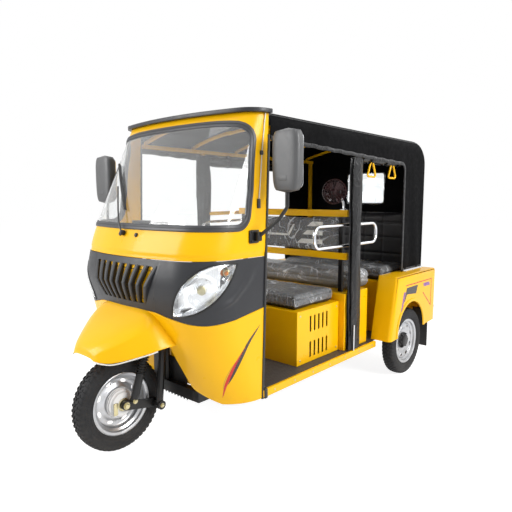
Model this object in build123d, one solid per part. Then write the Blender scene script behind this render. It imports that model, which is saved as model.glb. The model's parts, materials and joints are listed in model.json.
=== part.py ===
from build123d import *
import math
import os

# Overall layout: Y runs rearward from the front axle, X is to the vehicle's left
WHEELBASE = 2083.0
CAB_HALF = 550.0
TRACK = 2 * (CAB_HALF + 53.0)
REAR_END = WHEELBASE + 547.0
WALL = 10.0
SHEET = 6.0
SKIN = 5.0
MOVE_GAP = 8.0
RUN_FIT = 0.06

# Wheels
TYRE_OD = 500.0
TYRE_WIDTH = 96.0
TREAD_HALF = 33.0
SIDEWALL_DROP = 38.0
RIM_FLANGE_D = 335.0
RIM_SEAT_D = 304.0
RIM_WIDTH = 80.0
RIM_LIP = 6.0
DISC_THICK = 8.0
RIM_SLOTS = 8
RIM_SLOT = (38.0, 19.0)
RIM_SLOT_PCD = 222.0
AXLE_Z = TYRE_OD / 2

# Heights
BODY_BOTTOM = AXLE_Z + 10.0
FLOOR_TOP = BODY_BOTTOM + 45.0
FLOOR_THICK = 15.0
FASCIA_LOW = BODY_BOTTOM + 497.0
FASCIA_TOP = FASCIA_LOW + 263.0
SCREEN_BASE = FASCIA_TOP + 135.0
CAB_TOP = SCREEN_BASE + 590.0

# Steering and front suspension
RAKE = 22.0
STEER_Y = 100.0
STEER_Z = TYRE_OD
STEM_R = 14.0
STEM_FROM = 70.0
STEM_TOP = 470.0
HEAD_R = 26.0
HEAD_FROM = 118.0
HEAD_TO = 250.0
NECK_Y = 322.0
NECK_DROP = 95.0
CROWN_Y = (100.0, 172.0)
CROWN_Z = (TYRE_OD + 56.0, TYRE_OD + 88.0)
LEG_X = 112.0
LEG_R = 20.0
FORK_HALF = LEG_X + LEG_R + 5.0
PIVOT_Y = 182.0
PIVOT_Z = AXLE_Z - 38.0
ARM_X = (62.0, 78.0)
ARM_R = 24.0
FRONT_AXLE_R = 8.0
FRONT_HUB_R = 58.0
FRONT_HUB_HALF = 54.0
SHOCK_X = 100.0
SHOCK_EYE_R = 13.0
SHOCK_LOW = (30.0, AXLE_Z + 26.0)
SHOCK_TOP = (118.0, TYRE_OD + 43.0)
SHOCK_ROD_R = 12.0
SHOCK_BODY_R = 21.0
BOOT_R = (19.0, 26.0)
BOOT_FOLDS = 5
TUBE_SIDES = 8
BEND_CHORDS = 3
BAR_R = 11.0
BAR_BEND = 45.0
BAR_STRAIGHT = 130.0
BAR_KNEE = (215.0, 110.0, 28.0)
GRIP_WAY = (110.0, 52.0, -10.0)
CLAMP_HALF = 28.0
GRIP_R = 16.0
GRIP_LENGTH = 110.0

# Cab shell: every section's front arc meets its corners at the same turn
CORNER_TURN = 76.82
CORNER_R = 240.0
TOP_CORNER_R = 115.0
DOOR_EDGE = 524.0
DOOR_LEAN = 0.0327
FLOOR_FRONT = 358.0
# Height, Y where the corner ends on the side, corner radius
CAB_SECTIONS = (
    (BODY_BOTTOM, DOOR_EDGE - 2.0, CORNER_R),
    (BODY_BOTTOM + 340.0, DOOR_EDGE - 153.2, CORNER_R),
    (FASCIA_LOW, DOOR_EDGE - 193.2, CORNER_R),
    (FASCIA_LOW + 133.0, DOOR_EDGE - 218.2, CORNER_R),
    (FASCIA_TOP, DOOR_EDGE - 198.2, CORNER_R),
    (SCREEN_BASE, DOOR_EDGE - 153.2, CORNER_R),
    (CAB_TOP, DOOR_EDGE + 46.0, TOP_CORNER_R),
)
# Lower edge of the fascia: flat middle half, X and drop of the dip, Y and rise of its rear end
FASCIA_FLAT = 215.0
FASCIA_DIP_X = 400.0
FASCIA_DIP = FASCIA_LOW - 52.0
FASCIA_DIP_Y = 180.0
FASCIA_REAR = (800.0, FASCIA_LOW + 35.0)

# Front openings and trim
WHEEL_OPEN_TOP = TYRE_OD + 120.0
WHEEL_OPEN_HALF = (270.0, 318.0, 470.0)
WHEEL_OPEN_FOOT = (BODY_BOTTOM + 70.0, BODY_BOTTOM - WALL)
WHEEL_OPEN_CORNER = 60.0
PILLAR_WIDTH = (128.0, 79.0)
SCREEN_Z = (SCREEN_BASE + 5.0, CAB_TOP - 37.0)
SCREEN_CORNER = 90.0
SEAL_WIDTH = 30.0
SEAL_PROUD = 5.0
GLASS = 5.0
VISOR_OVER = 24.0
VISOR_THICK = 20.0
GRILLE_BARS = 9
GRILLE_Z = (FASCIA_LOW + 40.0, FASCIA_TOP - 33.0)
GRILLE_HALF = (180.0, 264.0)
GRILLE_BAR_HALF = (11.0, 15.5)
GRILLE_KINK = 20.0
BACKING = 4.0
# Headlamp outline from the corner's middle: along the corner, height
LAMP_TIP_IN = (-122.4, FASCIA_LOW - 14.0)
LAMP_OVER = (-29.4, FASCIA_TOP - 69.0)
LAMP_TIP_OUT = (193.6, FASCIA_TOP - 20.0)
LAMP_UNDER = (77.6, FASCIA_LOW + 62.0)
LAMP_REAR = 92.0
LAMP_WALL = 5.0

# Beak mudguard: Y, top half, top, shoulder half, shoulder height, lower half, lower edge
BEAK_SECTIONS = (
    (150.0, 204.0, TYRE_OD + 275.0, 258.0, TYRE_OD + 215.0, 332.0, TYRE_OD + 96.0),
    (60.0, 204.0, TYRE_OD + 266.0, 256.0, TYRE_OD + 205.0, 326.0, TYRE_OD + 94.0),
    (0.0, 206.0, TYRE_OD + 206.0, 246.0, TYRE_OD + 174.0, 304.0, TYRE_OD + 80.0),
    (-130.0, 116.0, TYRE_OD + 122.0, 150.0, TYRE_OD + 98.0, 180.0, TYRE_OD + 32.0),
    (-184.0, 60.0, TYRE_OD + 74.0, 86.0, TYRE_OD + 63.0, 104.0, TYRE_OD + 40.0),
)

# Roof posts and the rear body's width
POST_X = CAB_HALF - 19.0
POST = 28.0
POST_IN = POST_X - POST / 2
FENDER_IN = CAB_HALF - 34.0
FENDER_OUT = TRACK / 2 + 65.0

# Seats and inside
BOX_HALF = POST_IN - 45.0
SEAT_BOX_Y = (0.449 * WHEELBASE, 0.6683 * WHEELBASE)
SEAT_BOX_TOP = FLOOR_TOP + 335.0
VENT_ROWS = (FLOOR_TOP + 78.0, FLOOR_TOP + 241.0)
VENT_COUNT = 5
VENT_PITCH = 45.0
VENT_SIZE = (15.0, 100.0)
BATTERY_GAP = (92.0, 38.0)
BATTERY_TALL = 250.0
CUSHION = 92.0
CUSHION_ROUND = 26.0
MID_HALF = FENDER_IN - 2.0
MID_BOX_Y = (SEAT_BOX_Y[1] + 6.0, 0.816 * WHEELBASE)
MID_BOX_TOP = FLOOR_TOP + 385.0
MID_CUSHION = 130.0
MID_OVERHANG = 90.0
PART_MID = 0.7019 * WHEELBASE
PART_Y = (PART_MID - 12.5, PART_MID + 12.5)
PART_HALF = POST_IN - 28.0
PART_RAILS = (MID_BOX_TOP + 219.0, MID_BOX_TOP + 506.0)
PART_RAIL_H = 46.0
LOOP_X = POST_IN - 17.0
LOOP_Y = (PART_MID - 402.0, PART_MID + 358.0)
LOOP_Z = (PART_RAILS[0] + 101.0, PART_RAILS[0] + 236.0)
LOOP_R = 11.0
LOOP_BEND = 55.0
PART_POST_X = LOOP_X - 60.0
REAR_BASE_Y = WHEELBASE - 113.0
REAR_BASE_TOP = FLOOR_TOP + 395.0
REAR_BASE_HALF = FENDER_IN - 3.0
BACK_Y = (WHEELBASE + 317.0, WHEELBASE + 411.0)
BACK_TOP = REAR_BASE_TOP + 540.0
DASH_HALF = 0.6 * CAB_HALF
DASH_REAR = 262.0
DASH_Z = (SCREEN_BASE - 47.0, SCREEN_BASE - 15.0)
DIAL_HALF = 120.0
DIAL_Y = 200.0
DIAL_TOP = SCREEN_BASE + 41.0

# Roof, canopy and posts
POST_LEFT_Y = PART_MID
POST_RIGHT_Y = PART_MID - 362.0
POST_REAR_Y = WHEELBASE + 372.0
ROOF_RAIL_Z = (CAB_TOP - 105.0, CAB_TOP - 79.0)
CANOPY_FRONT = DOOR_EDGE + (CAB_TOP - BODY_BOTTOM) * DOOR_LEAN + 3.4
ROOF_RAIL_FROM = CANOPY_FRONT + 4.0
BOW_Y = (CANOPY_FRONT + 34.0, 0.49 * WHEELBASE, PART_MID, WHEELBASE - 123.0, WHEELBASE + 322.0)
BOW_RISE = 104.0
BOW_THICK = 18.0
BOW_WIDTH = 26.0
WAIST_Z = PART_RAILS[1] + 9.0
CANOPY_HALF = CAB_HALF + 12.0
CANOPY_REAR = WHEELBASE + 462.0
CANOPY_SIDE_TOP = CAB_TOP + 19.0
CANOPY_TOP = CAB_TOP + 53.0
CANOPY_SHOULDER = 90.0
CANOPY_TAIL = 185.0
CANOPY_CORNER = 60.0
CANVAS = 6.0
VALANCE = ((CANOPY_FRONT - 76.0, CAB_TOP - 117.0), (WHEELBASE + 47.0, CAB_TOP - 173.0))
VALANCE_CORNER = 60.0
WINDOW_HALF = 186.0
WINDOW_Z = (CAB_TOP - 475.0, CAB_TOP - 200.0)
WINDOW_CORNER = 30.0
HANDLE_Y = (WHEELBASE - 403.0, WHEELBASE - 103.0)
HANDLE_HALF = 60.0
HANDLE_Z = (ROOF_RAIL_Z[0] - 175.0, ROOF_RAIL_Z[0] - 50.0)
HANDLE_R = 7.0
HANDLE_BEND = 14.0

# Rear body
FENDER_TOP = REAR_BASE_TOP + 62.0
FENDER_FRONT = (WHEELBASE - 321.0, WHEELBASE - 225.0)
FENDER_REAR = WHEELBASE + 447.0
FENDER_LOW = (BODY_BOTTOM + 50.0, BODY_BOTTOM + 85.0)
FENDER_CORNER = 70.0
ARCH_R = TYRE_OD / 2 - 22.0
ARCH_Y = WHEELBASE + 12.0
ARCH_Z = AXLE_Z + 85.0
CANOPY_BOTTOM = FENDER_TOP + 2.0
TAIL_BOTTOM = FENDER_TOP - 300.0
TAIL_LAMP_Z = (FENDER_TOP - 202.0, FENDER_TOP - 72.0)
TAIL_LAMP_DEPTH = 14.0
FLAP_Y = WHEELBASE + 357.0
FLAP_Z = (AXLE_Z - 120.0, BODY_BOTTOM + 180.0)
FRONT_FLAP_HALF = 150.0
FRONT_FLAP_Z = (AXLE_Z - 60.0, BODY_BOTTOM + 160.0)
FLAP_TEETH = 11
FLAP_TOOTH = 26.0
RAIL_X = 275.0
RAIL_W = 40.0
RAIL_LOW = (BODY_BOTTOM - 32.0, BODY_BOTTOM + 30.0)
RAIL_HIGH = (TAIL_BOTTOM - 62.0, TAIL_BOTTOM - 6.0)
RAIL_END = WHEELBASE + 417.0
MEMBERS_LOW = (0.432 * WHEELBASE, 0.6625 * WHEELBASE, 0.8737 * WHEELBASE)
MEMBERS_HIGH = (WHEELBASE + 187.0, WHEELBASE + 377.0)
OUTRIGGERS = (DOOR_EDGE + 36.0, 0.48 * WHEELBASE, 0.6913 * WHEELBASE, 0.8065 * WHEELBASE)
SPRING_THICK = 20.0
LEAF_WIDTH = 45.0
# Leaf spring: Y and height of the front eye, the axle seat and the rear shackle
LEAF_POINTS = (
    (WHEELBASE - 283.0, AXLE_Z - 4.0),
    (WHEELBASE, AXLE_Z + 42.0),
    (WHEELBASE + 287.0, AXLE_Z + 142.0),
)
AXLE_TUBE_R = 35.0
SPINDLE_R = 15.0
DIFF_HALF = 70.0
DIFF_R = 95.0
MOTOR_X = (-190.0, 90.0)
MOTOR_AT = (WHEELBASE + 130.0, AXLE_Z + 25.0)
MOTOR_R = 78.0
REAR_HUB_R = 62.0
REAR_HUB_X = (TRACK / 2 - 47.0, TRACK / 2 + 33.0)
BUMPER_Z = (TAIL_BOTTOM - 132.0, TAIL_BOTTOM - 2.0)
BUMPER_HALF = TRACK / 2 + 17.0
BUMPER_BEND = 45.0

# Mirrors: side, Y of the arm's foot, then bend and housing centre as X beyond the cab, Y and height
MIRROR_FOOT_Z = SCREEN_BASE - 25.0
MIRRORS = (
    (1, 470.0, (130.0, 500.0, SCREEN_BASE + 60.0), (150.0, 540.0, SCREEN_BASE + 345.0)),
    (-1, 400.0, (125.0, 388.0, SCREEN_BASE + 5.0), (150.0, 400.0, SCREEN_BASE + 285.0)),
)
MIRROR_SIZE = (165.0, 70.0, 310.0)
MIRROR_CORNER = 40.0
MIRROR_EDGE = 14.0
MIRROR_ARM_R = 9.0
MIRROR_ARM_BEND = 20.0
MIRROR_ARM_OUT = 30.0

SHIFT_Y = -(REAR_END - TYRE_OD / 2) / 2


def box(x, y, z):
    """Box from three (low, high) pairs."""
    size = [b - a for a, b in (x, y, z)]
    middle = [(a + b) / 2 for a, b in (x, y, z)]
    return Pos(*middle) * Box(*size)


def side_prism(points, x, radius=0.0, at=()):
    """Prism with an outline in Y and Z, running along X."""
    face = make_face(Polyline(*points, close=True))
    if radius:
        face = fillet([v for v in face.vertices() if any(math.dist((v.X, v.Y), p) < 0.5 for p in at)], radius)
    return extrude(Plane.YZ.offset(x[0]) * face, amount=x[1] - x[0])


def front_prism(face, y):
    """Prism with an outline in X and Z, running along Y."""
    return extrude(Plane((0, y[0], 0), x_dir=(1, 0, 0), z_dir=(0, -1, 0)) * face, amount=y[0] - y[1])


def plan_prism(face, z):
    """Prism with an outline in X and Y, running up Z."""
    return extrude(Pos(0, 0, z[0]) * face, amount=z[1] - z[0])


def polygon(*points):
    return make_face(Polyline(*points, close=True))


def rod(start, end, radius):
    """Round bar between two points."""
    a = Vector(*start)
    b = Vector(*end)
    return extrude(Plane(a, z_dir=b - a) * Circle(radius), amount=(b - a).length)


def bend_points(points, bend, close):
    """Path through the points with each corner bent in short chords; a closed path starts on a straight."""
    spots = [Vector(*p) for p in points]
    ends = (0,) if close else (0, len(spots) - 1)
    path = []
    for i, spot in enumerate(spots):
        if i in ends:
            path.append(spot)
            continue
        before = (spots[i - 1] - spot).normalized()
        after = (spots[(i + 1) % len(spots)] - spot).normalized()
        half = math.radians(before.get_angle(after)) / 2
        centre = spot + (before + after).normalized() * (bend / math.sin(half))
        start = spot + before * (bend / math.tan(half)) - centre
        end = spot + after * (bend / math.tan(half)) - centre
        for k in range(BEND_CHORDS + 1):
            share = k / BEND_CHORDS
            path.append(centre + (start * (1 - share) + end * share).normalized() * bend)
    return path


def tube(points, radius, bend, close=False):
    """Bent bar through the points, with mitred chords in its bends."""
    path = Polyline(*bend_points(points, bend, close), close=close)
    section = Plane(path @ 0, z_dir=path % 0) * RegularPolygon(radius, TUBE_SIDES)
    return sweep(section, path=path, transition=Transition.RIGHT)


def both_sides(part):
    return Compound([part, mirror(part, about=Plane.YZ)])


def across(x, y, z, radius):
    """Round bar along X between two X values."""
    return rod((x[0], y, z), (x[1], y, z), radius)


def door_edge(z):
    return DOOR_EDGE + (z - BODY_BOTTOM) * DOOR_LEAN


def cab_row(z):
    """Corner end and corner radius of the cab at a height."""
    for (low, low_y, low_r), (high, high_y, high_r) in zip(CAB_SECTIONS, CAB_SECTIONS[1:]):
        if z <= high:
            share = (z - low) / (high - low)
            return low_y + (high_y - low_y) * share, low_r + (high_r - low_r) * share
    return CAB_SECTIONS[-1][1:]


def cab_section(z, corner_y, corner, grow, rear):
    """Plan outline of the cab: flat sides, two round corners, crowned front."""
    half = CAB_HALF + grow
    r = corner + grow
    turn = math.radians(CORNER_TURN)
    crown = r + (half - r) / math.cos(turn)
    centre = corner_y + (crown - r) * math.sin(turn)
    touch = (crown * math.cos(turn), centre - crown * math.sin(turn))
    bulge = (half - r + r * math.cos(turn / 2), corner_y - r * math.sin(turn / 2))
    edges = [
        Line((-half, rear), (half, rear)),
        Line((half, rear), (half, corner_y)),
        ThreePointArc((half, corner_y), bulge, touch),
        ThreePointArc(touch, (0, centre - crown), (-touch[0], touch[1])),
        ThreePointArc((-touch[0], touch[1]), (-bulge[0], bulge[1]), (-half, corner_y)),
        Line((-half, corner_y), (-half, rear)),
    ]
    return Pos(0, 0, z) * make_face(edges)


def cab_solid(grow, longer=0.0):
    """Cab volume grown outward, with the back and both ends drawn out by longer."""
    faces = []
    for i, (z, corner_y, corner) in enumerate(CAB_SECTIONS):
        end = {0: -longer, len(CAB_SECTIONS) - 1: longer}.get(i, 0.0)
        faces.append(cab_section(z + end, corner_y, corner, grow, door_edge(z) + longer))
    return loft(faces, ruled=True)


def along_stem(s, x=0.0, back=0.0):
    """Point at a distance up the steering axis, moved sideways and rearward."""
    a = math.radians(RAKE)
    return (x, STEER_Y + s * math.sin(a) + back, STEER_Z + s * math.cos(a))


nodes = {}

# Wheels
half_w = TYRE_WIDTH / 2
tyre_r = TYRE_OD / 2
seat_r = RIM_SEAT_D / 2
flange_r = RIM_FLANGE_D / 2
rim_half = RIM_WIDTH / 2


def wheel_turn(points):
    """Ring turned about X from an outline of (x, radius) points."""
    return revolve(polygon(*points), axis=Axis.X)


bead_x = rim_half - RIM_LIP
widest_r = tyre_r - SIDEWALL_DROP
flange_x = bead_x + (half_w - bead_x) * (flange_r - seat_r) / (widest_r - seat_r)


def tyre():
    return wheel_turn([(-TREAD_HALF, tyre_r), (TREAD_HALF, tyre_r), (half_w, widest_r), (bead_x, seat_r),
                       (-bead_x, seat_r), (-half_w, widest_r)])


def rim(disc_x, hub_r):
    """Rim barrel with flared flanges and a slotted disc that ends at the hub."""
    barrel = wheel_turn([(flange_x, flange_r), (bead_x, seat_r), (-bead_x, seat_r), (-flange_x, flange_r),
                         (-rim_half, seat_r - RIM_LIP), (rim_half, seat_r - RIM_LIP)])
    disc = across((disc_x, disc_x + DISC_THICK), 0, 0, seat_r - RIM_LIP / 2)
    disc -= across((-half_w, half_w), 0, 0, hub_r)
    length, tall = RIM_SLOT
    slot = polygon((length / 2, 0), (length / 4, tall / 2), (-length / 4, tall / 2), (-length / 2, 0),
                   (-length / 4, -tall / 2), (length / 4, -tall / 2))
    for i in range(RIM_SLOTS):
        turned = Rot(0, 0, 360 * (i + 0.5) / RIM_SLOTS) * Pos(0, RIM_SLOT_PCD / 2) * slot
        disc -= extrude(Plane.YZ.offset(-half_w) * turned, amount=TYRE_WIDTH)
    return barrel + disc


front_hub = across((-FRONT_HUB_HALF, FRONT_HUB_HALF), 0, 0, FRONT_HUB_R)
front_hub -= across((-FRONT_HUB_HALF, FRONT_HUB_HALF), 0, 0, FRONT_AXLE_R + RUN_FIT)
nodes["front_tyre"] = Pos(0, 0, AXLE_Z) * tyre()
nodes["front_rim"] = Pos(0, 0, AXLE_Z) * (rim(-DISC_THICK / 2, FRONT_HUB_R) + front_hub)

left_wheel = Pos(TRACK / 2, WHEELBASE, AXLE_Z)
rear_hub = across(REAR_HUB_X, 0, 0, REAR_HUB_R) - across((0, REAR_HUB_X[1] - WALL), 0, 0, SPINDLE_R + RUN_FIT)
rear_parts = {
    "rear_tyre": left_wheel * tyre(),
    "rear_rim": left_wheel * rim(DISC_THICK, REAR_HUB_R),
    "rear_hub": Pos(0, WHEELBASE, AXLE_Z) * rear_hub,
}
for name, piece in rear_parts.items():
    nodes[name + "_left"] = piece
    nodes[name + "_right"] = mirror(piece, about=Plane.YZ)

# Steering column, fork and leading links
fork = rod(along_stem(STEM_FROM), along_stem(STEM_TOP), STEM_R)
fork += box((-FORK_HALF, FORK_HALF), CROWN_Y, CROWN_Z)
crown_mid = (CROWN_Z[0] + CROWN_Z[1]) / 2
for side in (-1, 1):
    x = side * LEG_X
    leg_knee = (x, CROWN_Y[1] + 2 * LEG_R, crown_mid - LEG_R)
    leg = [(x, CROWN_Y[1] - LEG_R, crown_mid), leg_knee, (x, PIVOT_Y, PIVOT_Z)]
    fork += tube(leg, LEG_R, LEG_R + WALL)
    boss = sorted((side * ARM_X[1], side * FORK_HALF))
    fork += across(boss, PIVOT_Y, PIVOT_Z, ARM_R)
    lug = sorted((side * (SHOCK_X + SHOCK_EYE_R), side * FORK_HALF))
    lug_y = (SHOCK_TOP[0] - SHOCK_EYE_R, SHOCK_TOP[0] + SHOCK_EYE_R)
    fork += box(lug, lug_y, (SHOCK_TOP[1] - SHOCK_EYE_R, CROWN_Z[0]))
bar_y, bar_z = along_stem(STEM_TOP + BAR_R)[1:]
fork += across((-CLAMP_HALF, CLAMP_HALF), bar_y, bar_z, BAR_R + SHEET)
knee = Vector(BAR_KNEE[0], bar_y + BAR_KNEE[1], bar_z + BAR_KNEE[2])
grip_way = Vector(*GRIP_WAY).normalized()
bar_end = knee + grip_way * (GRIP_LENGTH + BAR_BEND)
bar_points = [(BAR_STRAIGHT, bar_y, bar_z), tuple(knee), tuple(bar_end)]
bar_points = [(-x, y, z) for x, y, z in reversed(bar_points)] + bar_points
handlebar = tube(bar_points, BAR_R, BAR_BEND)
nodes["front_fork"] = fork - handlebar
nodes["handlebar"] = handlebar
grip_start = bar_end - grip_way * GRIP_LENGTH
grip = rod(tuple(grip_start), tuple(bar_end), GRIP_R) - handlebar
nodes["handlebar_grips"] = both_sides(grip)

links = across((-ARM_X[1], ARM_X[1]), 0, AXLE_Z, FRONT_AXLE_R)
lean = math.degrees(math.atan2(PIVOT_Z - AXLE_Z, PIVOT_Y))
for side in (-1, 1):
    plate = Pos(0, PIVOT_Y / 2, (AXLE_Z + PIVOT_Z) / 2) * Rot(lean, 0, 0)
    plate = plate * Box(ARM_X[1] - ARM_X[0], math.hypot(PIVOT_Y, PIVOT_Z - AXLE_Z), 2 * ARM_R)
    links += Pos(side * sum(ARM_X) / 2, 0, 0) * plate
    span = sorted((side * ARM_X[0], side * ARM_X[1]))
    links += across(span, 0, AXLE_Z, ARM_R)
    links += across(span, PIVOT_Y, PIVOT_Z, ARM_R)
nodes["front_links"] = links

shock_length = math.dist(SHOCK_LOW, SHOCK_TOP)
shock_lean = math.degrees(math.atan2(SHOCK_TOP[0] - SHOCK_LOW[0], SHOCK_TOP[1] - SHOCK_LOW[1]))
boot_from = shock_length / 2
boot_to = shock_length - 2.5 * SHOCK_EYE_R
fold = (boot_to - boot_from) / BOOT_FOLDS
outline = [(0, 0), (SHOCK_ROD_R, 0), (SHOCK_BODY_R, SHOCK_EYE_R), (SHOCK_BODY_R, boot_from)]
for i in range(BOOT_FOLDS):
    outline += [(BOOT_R[1], boot_from + (i + 0.5) * fold), (BOOT_R[0], boot_from + (i + 1) * fold)]
outline += [(SHOCK_ROD_R, boot_to), (SHOCK_ROD_R, shock_length), (0, shock_length)]
damper = revolve(Plane.XZ * polygon(*outline), axis=Axis.Z)
shock = Pos(SHOCK_X, SHOCK_LOW[0], SHOCK_LOW[1]) * Rot(-shock_lean, 0, 0) * damper
shock += across((SHOCK_X - SHOCK_EYE_R, SHOCK_X + SHOCK_EYE_R), *SHOCK_TOP, SHOCK_EYE_R)
shock += across((ARM_X[1], SHOCK_X + SHOCK_EYE_R), *SHOCK_LOW, SHOCK_EYE_R)
nodes["front_shocks"] = both_sides(shock)

head = rod(along_stem(HEAD_FROM), along_stem(HEAD_TO), HEAD_R)
neck_mid = along_stem((HEAD_FROM + HEAD_TO) / 2)
head += tube([neck_mid, (0, NECK_Y, neck_mid[2] - NECK_DROP), (0, NECK_Y, RAIL_LOW[1])], LEG_R, 2 * LEG_R)
head -= rod(along_stem(0), along_stem(STEM_TOP), STEM_R + RUN_FIT)
nodes["steering_head"] = head

# Chassis
rail_from = NECK_Y - RAIL_W / 2
step = (REAR_BASE_Y + MOVE_GAP, REAR_BASE_Y + MOVE_GAP + RAIL_W)
rail_side = [(rail_from, RAIL_LOW[0]), (step[1], RAIL_LOW[0]), (step[1], RAIL_HIGH[0]),
             (RAIL_END, RAIL_HIGH[0]), (RAIL_END, RAIL_HIGH[1]), (step[0], RAIL_HIGH[1]),
             (step[0], RAIL_LOW[1]), (rail_from, RAIL_LOW[1])]
rail_x = (RAIL_X - RAIL_W / 2, RAIL_X + RAIL_W / 2)
nodes["chassis_rails"] = both_sides(side_prism(rail_side, rail_x))
members = [box((-rail_x[0], rail_x[0]), (y, y + RAIL_W), RAIL_LOW) for y in (rail_from, *MEMBERS_LOW)]
members += [box((-rail_x[0], rail_x[0]), (y, y + RAIL_W), RAIL_HIGH) for y in MEMBERS_HIGH]
out_x = (rail_x[1], CAB_HALF - WALL)
for y in OUTRIGGERS:
    arm = box(out_x, (y, y + RAIL_W), (BODY_BOTTOM, RAIL_LOW[1]))
    members += [arm, mirror(arm, about=Plane.YZ)]
nodes["chassis_members"] = Compound(members)

leaf_x = (rail_x[1] + 2 * WALL, rail_x[1] + 2 * WALL + LEAF_WIDTH)


def leaf_arc(lift):
    """Leaf curve through the front eye, the axle seat and the rear shackle."""
    return ThreePointArc(*[(y, z + lift) for y, z in LEAF_POINTS])


leaf_ends = [LEAF_POINTS[0], LEAF_POINTS[2]]
leaf_sides = [Line((y, z), (y, z + SPRING_THICK)) for y, z in leaf_ends]
leaf_face = make_face([leaf_arc(0), leaf_sides[0], leaf_arc(SPRING_THICK), leaf_sides[1]])
leaf = extrude(Plane.YZ.offset(leaf_x[0]) * leaf_face, amount=LEAF_WIDTH)
hang_x = (rail_x[1], leaf_x[0] + WALL)
(eye_y, eye_z), (shackle_y, shackle_z) = leaf_ends
leaf += box(hang_x, (eye_y, eye_y + 3 * WALL), (eye_z, eye_z + SPRING_THICK))
leaf += box(hang_x, (shackle_y - 3 * WALL, shackle_y), (shackle_z - WALL, RAIL_HIGH[1] - WALL))
nodes["leaf_springs"] = both_sides(leaf)

hub_in = REAR_HUB_X[0]
axle = across((-hub_in + MOVE_GAP, hub_in - MOVE_GAP), WHEELBASE, AXLE_Z, AXLE_TUBE_R)
axle += across((-REAR_HUB_X[1] + 2 * WALL, REAR_HUB_X[1] - 2 * WALL), WHEELBASE, AXLE_Z, SPINDLE_R)
axle += across((-DIFF_HALF, DIFF_HALF), WHEELBASE, AXLE_Z, DIFF_R)
axle += across(MOTOR_X, *MOTOR_AT, MOTOR_R)
seat_foot = [(LEAF_POINTS[2][0], 0), (LEAF_POINTS[0][0], 0)]
seat_top = [leaf_arc(0), Line(LEAF_POINTS[2], seat_foot[0]), Line(*seat_foot),
            Line(seat_foot[1], LEAF_POINTS[0])]
under_leaf = extrude(Plane.YZ.offset(leaf_x[0]) * make_face(seat_top), amount=LEAF_WIDTH)
seat = under_leaf & box(leaf_x, (WHEELBASE - AXLE_TUBE_R, WHEELBASE + AXLE_TUBE_R), (AXLE_Z, RAIL_HIGH[0]))
axle += seat
axle += mirror(seat, about=Plane.YZ)
nodes["rear_axle"] = axle

# Cab shell: apron, fascia, cowl
cab_outer = cab_solid(0)
cab_inner = cab_solid(-WALL, 1.0)
shell = cab_outer - cab_inner
far = (-CAB_HALF - 4 * WALL, CAB_HALF + 4 * WALL)
depth = (-300.0, 800.0)
front_edge = polygon((far[0], FASCIA_TOP), (far[1], FASCIA_TOP), (far[1], FASCIA_DIP),
                     (FASCIA_DIP_X, FASCIA_DIP), (FASCIA_FLAT, FASCIA_LOW), (-FASCIA_FLAT, FASCIA_LOW),
                     (-FASCIA_DIP_X, FASCIA_DIP), (far[0], FASCIA_DIP))
side_edge = [(depth[0], FASCIA_TOP), (FASCIA_REAR[0], FASCIA_TOP), FASCIA_REAR, (FASCIA_DIP_Y, FASCIA_DIP),
             (depth[0], FASCIA_DIP)]
fascia_zone = front_prism(front_edge, depth) & side_prism(side_edge, far)
low_zone = box(far, depth, (0, FASCIA_TOP)) - fascia_zone
open_top, open_mid, open_foot = WHEEL_OPEN_HALF
mouth_side = [(open_top, WHEEL_OPEN_TOP), (open_mid, WHEEL_OPEN_FOOT[0]), (open_foot, WHEEL_OPEN_FOOT[1]),
              (open_foot, 0)]
mouth = polygon(*mouth_side, *[(-x, z) for x, z in reversed(mouth_side)])
mouth = fillet([v for v in mouth.vertices() if abs(v.Y - WHEEL_OPEN_FOOT[0]) < SKIN], WHEEL_OPEN_CORNER)
nodes["front_apron"] = (shell & low_zone) - front_prism(mouth, (depth[0], FLOOR_FRONT))

lamp_plane = Plane((CAB_HALF - CORNER_R, CAB_SECTIONS[3][1], 0), x_dir=(1, 1, 0), z_dir=(1, -1, 0))
lamp_face = make_face([ThreePointArc(LAMP_TIP_IN, LAMP_OVER, LAMP_TIP_OUT),
                       ThreePointArc(LAMP_TIP_OUT, LAMP_UNDER, LAMP_TIP_IN)])
lamp_bar = extrude(lamp_plane.offset(LAMP_REAR) * lamp_face, amount=CAB_HALF)
lamp_core = extrude(lamp_plane.offset(LAMP_REAR + LAMP_WALL) * offset(lamp_face, -LAMP_WALL), amount=CAB_HALF)

fascia = shell & fascia_zone
fascia -= lamp_bar
fascia -= mirror(lamp_bar, about=Plane.YZ)


def grille_face(centre, half):
    """Upright strip that widens from the grille's lower edge to its upper edge."""
    return polygon((centre[0] - half[0], GRILLE_Z[0]), (centre[0] + half[0], GRILLE_Z[0]),
                   (centre[1] + half[1], GRILLE_Z[1]), (centre[1] - half[1], GRILLE_Z[1]))


def grille_solid(grow):
    """Cab front that stands out in a ridge at half the grille's height."""
    kinks = {GRILLE_Z[0]: 0.0, sum(GRILLE_Z) / 2: GRILLE_KINK, GRILLE_Z[1]: 0.0}
    faces = [cab_section(z, *cab_row(z), grow + kink, door_edge(z)) for z, kink in kinks.items()]
    return loft(faces, ruled=True)


fascia -= front_prism(grille_face((0, 0), GRILLE_HALF), (depth[0], FLOOR_FRONT))
ridge = grille_solid(0) - grille_solid(-WALL)
for i in range(GRILLE_BARS):
    place = i / (GRILLE_BARS - 1) * 2 - 1
    centre = [half * place for half in GRILLE_HALF]
    fascia += ridge & front_prism(grille_face(centre, GRILLE_BAR_HALF), (depth[0], FLOOR_FRONT))
nodes["front_fascia"] = fascia

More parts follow.
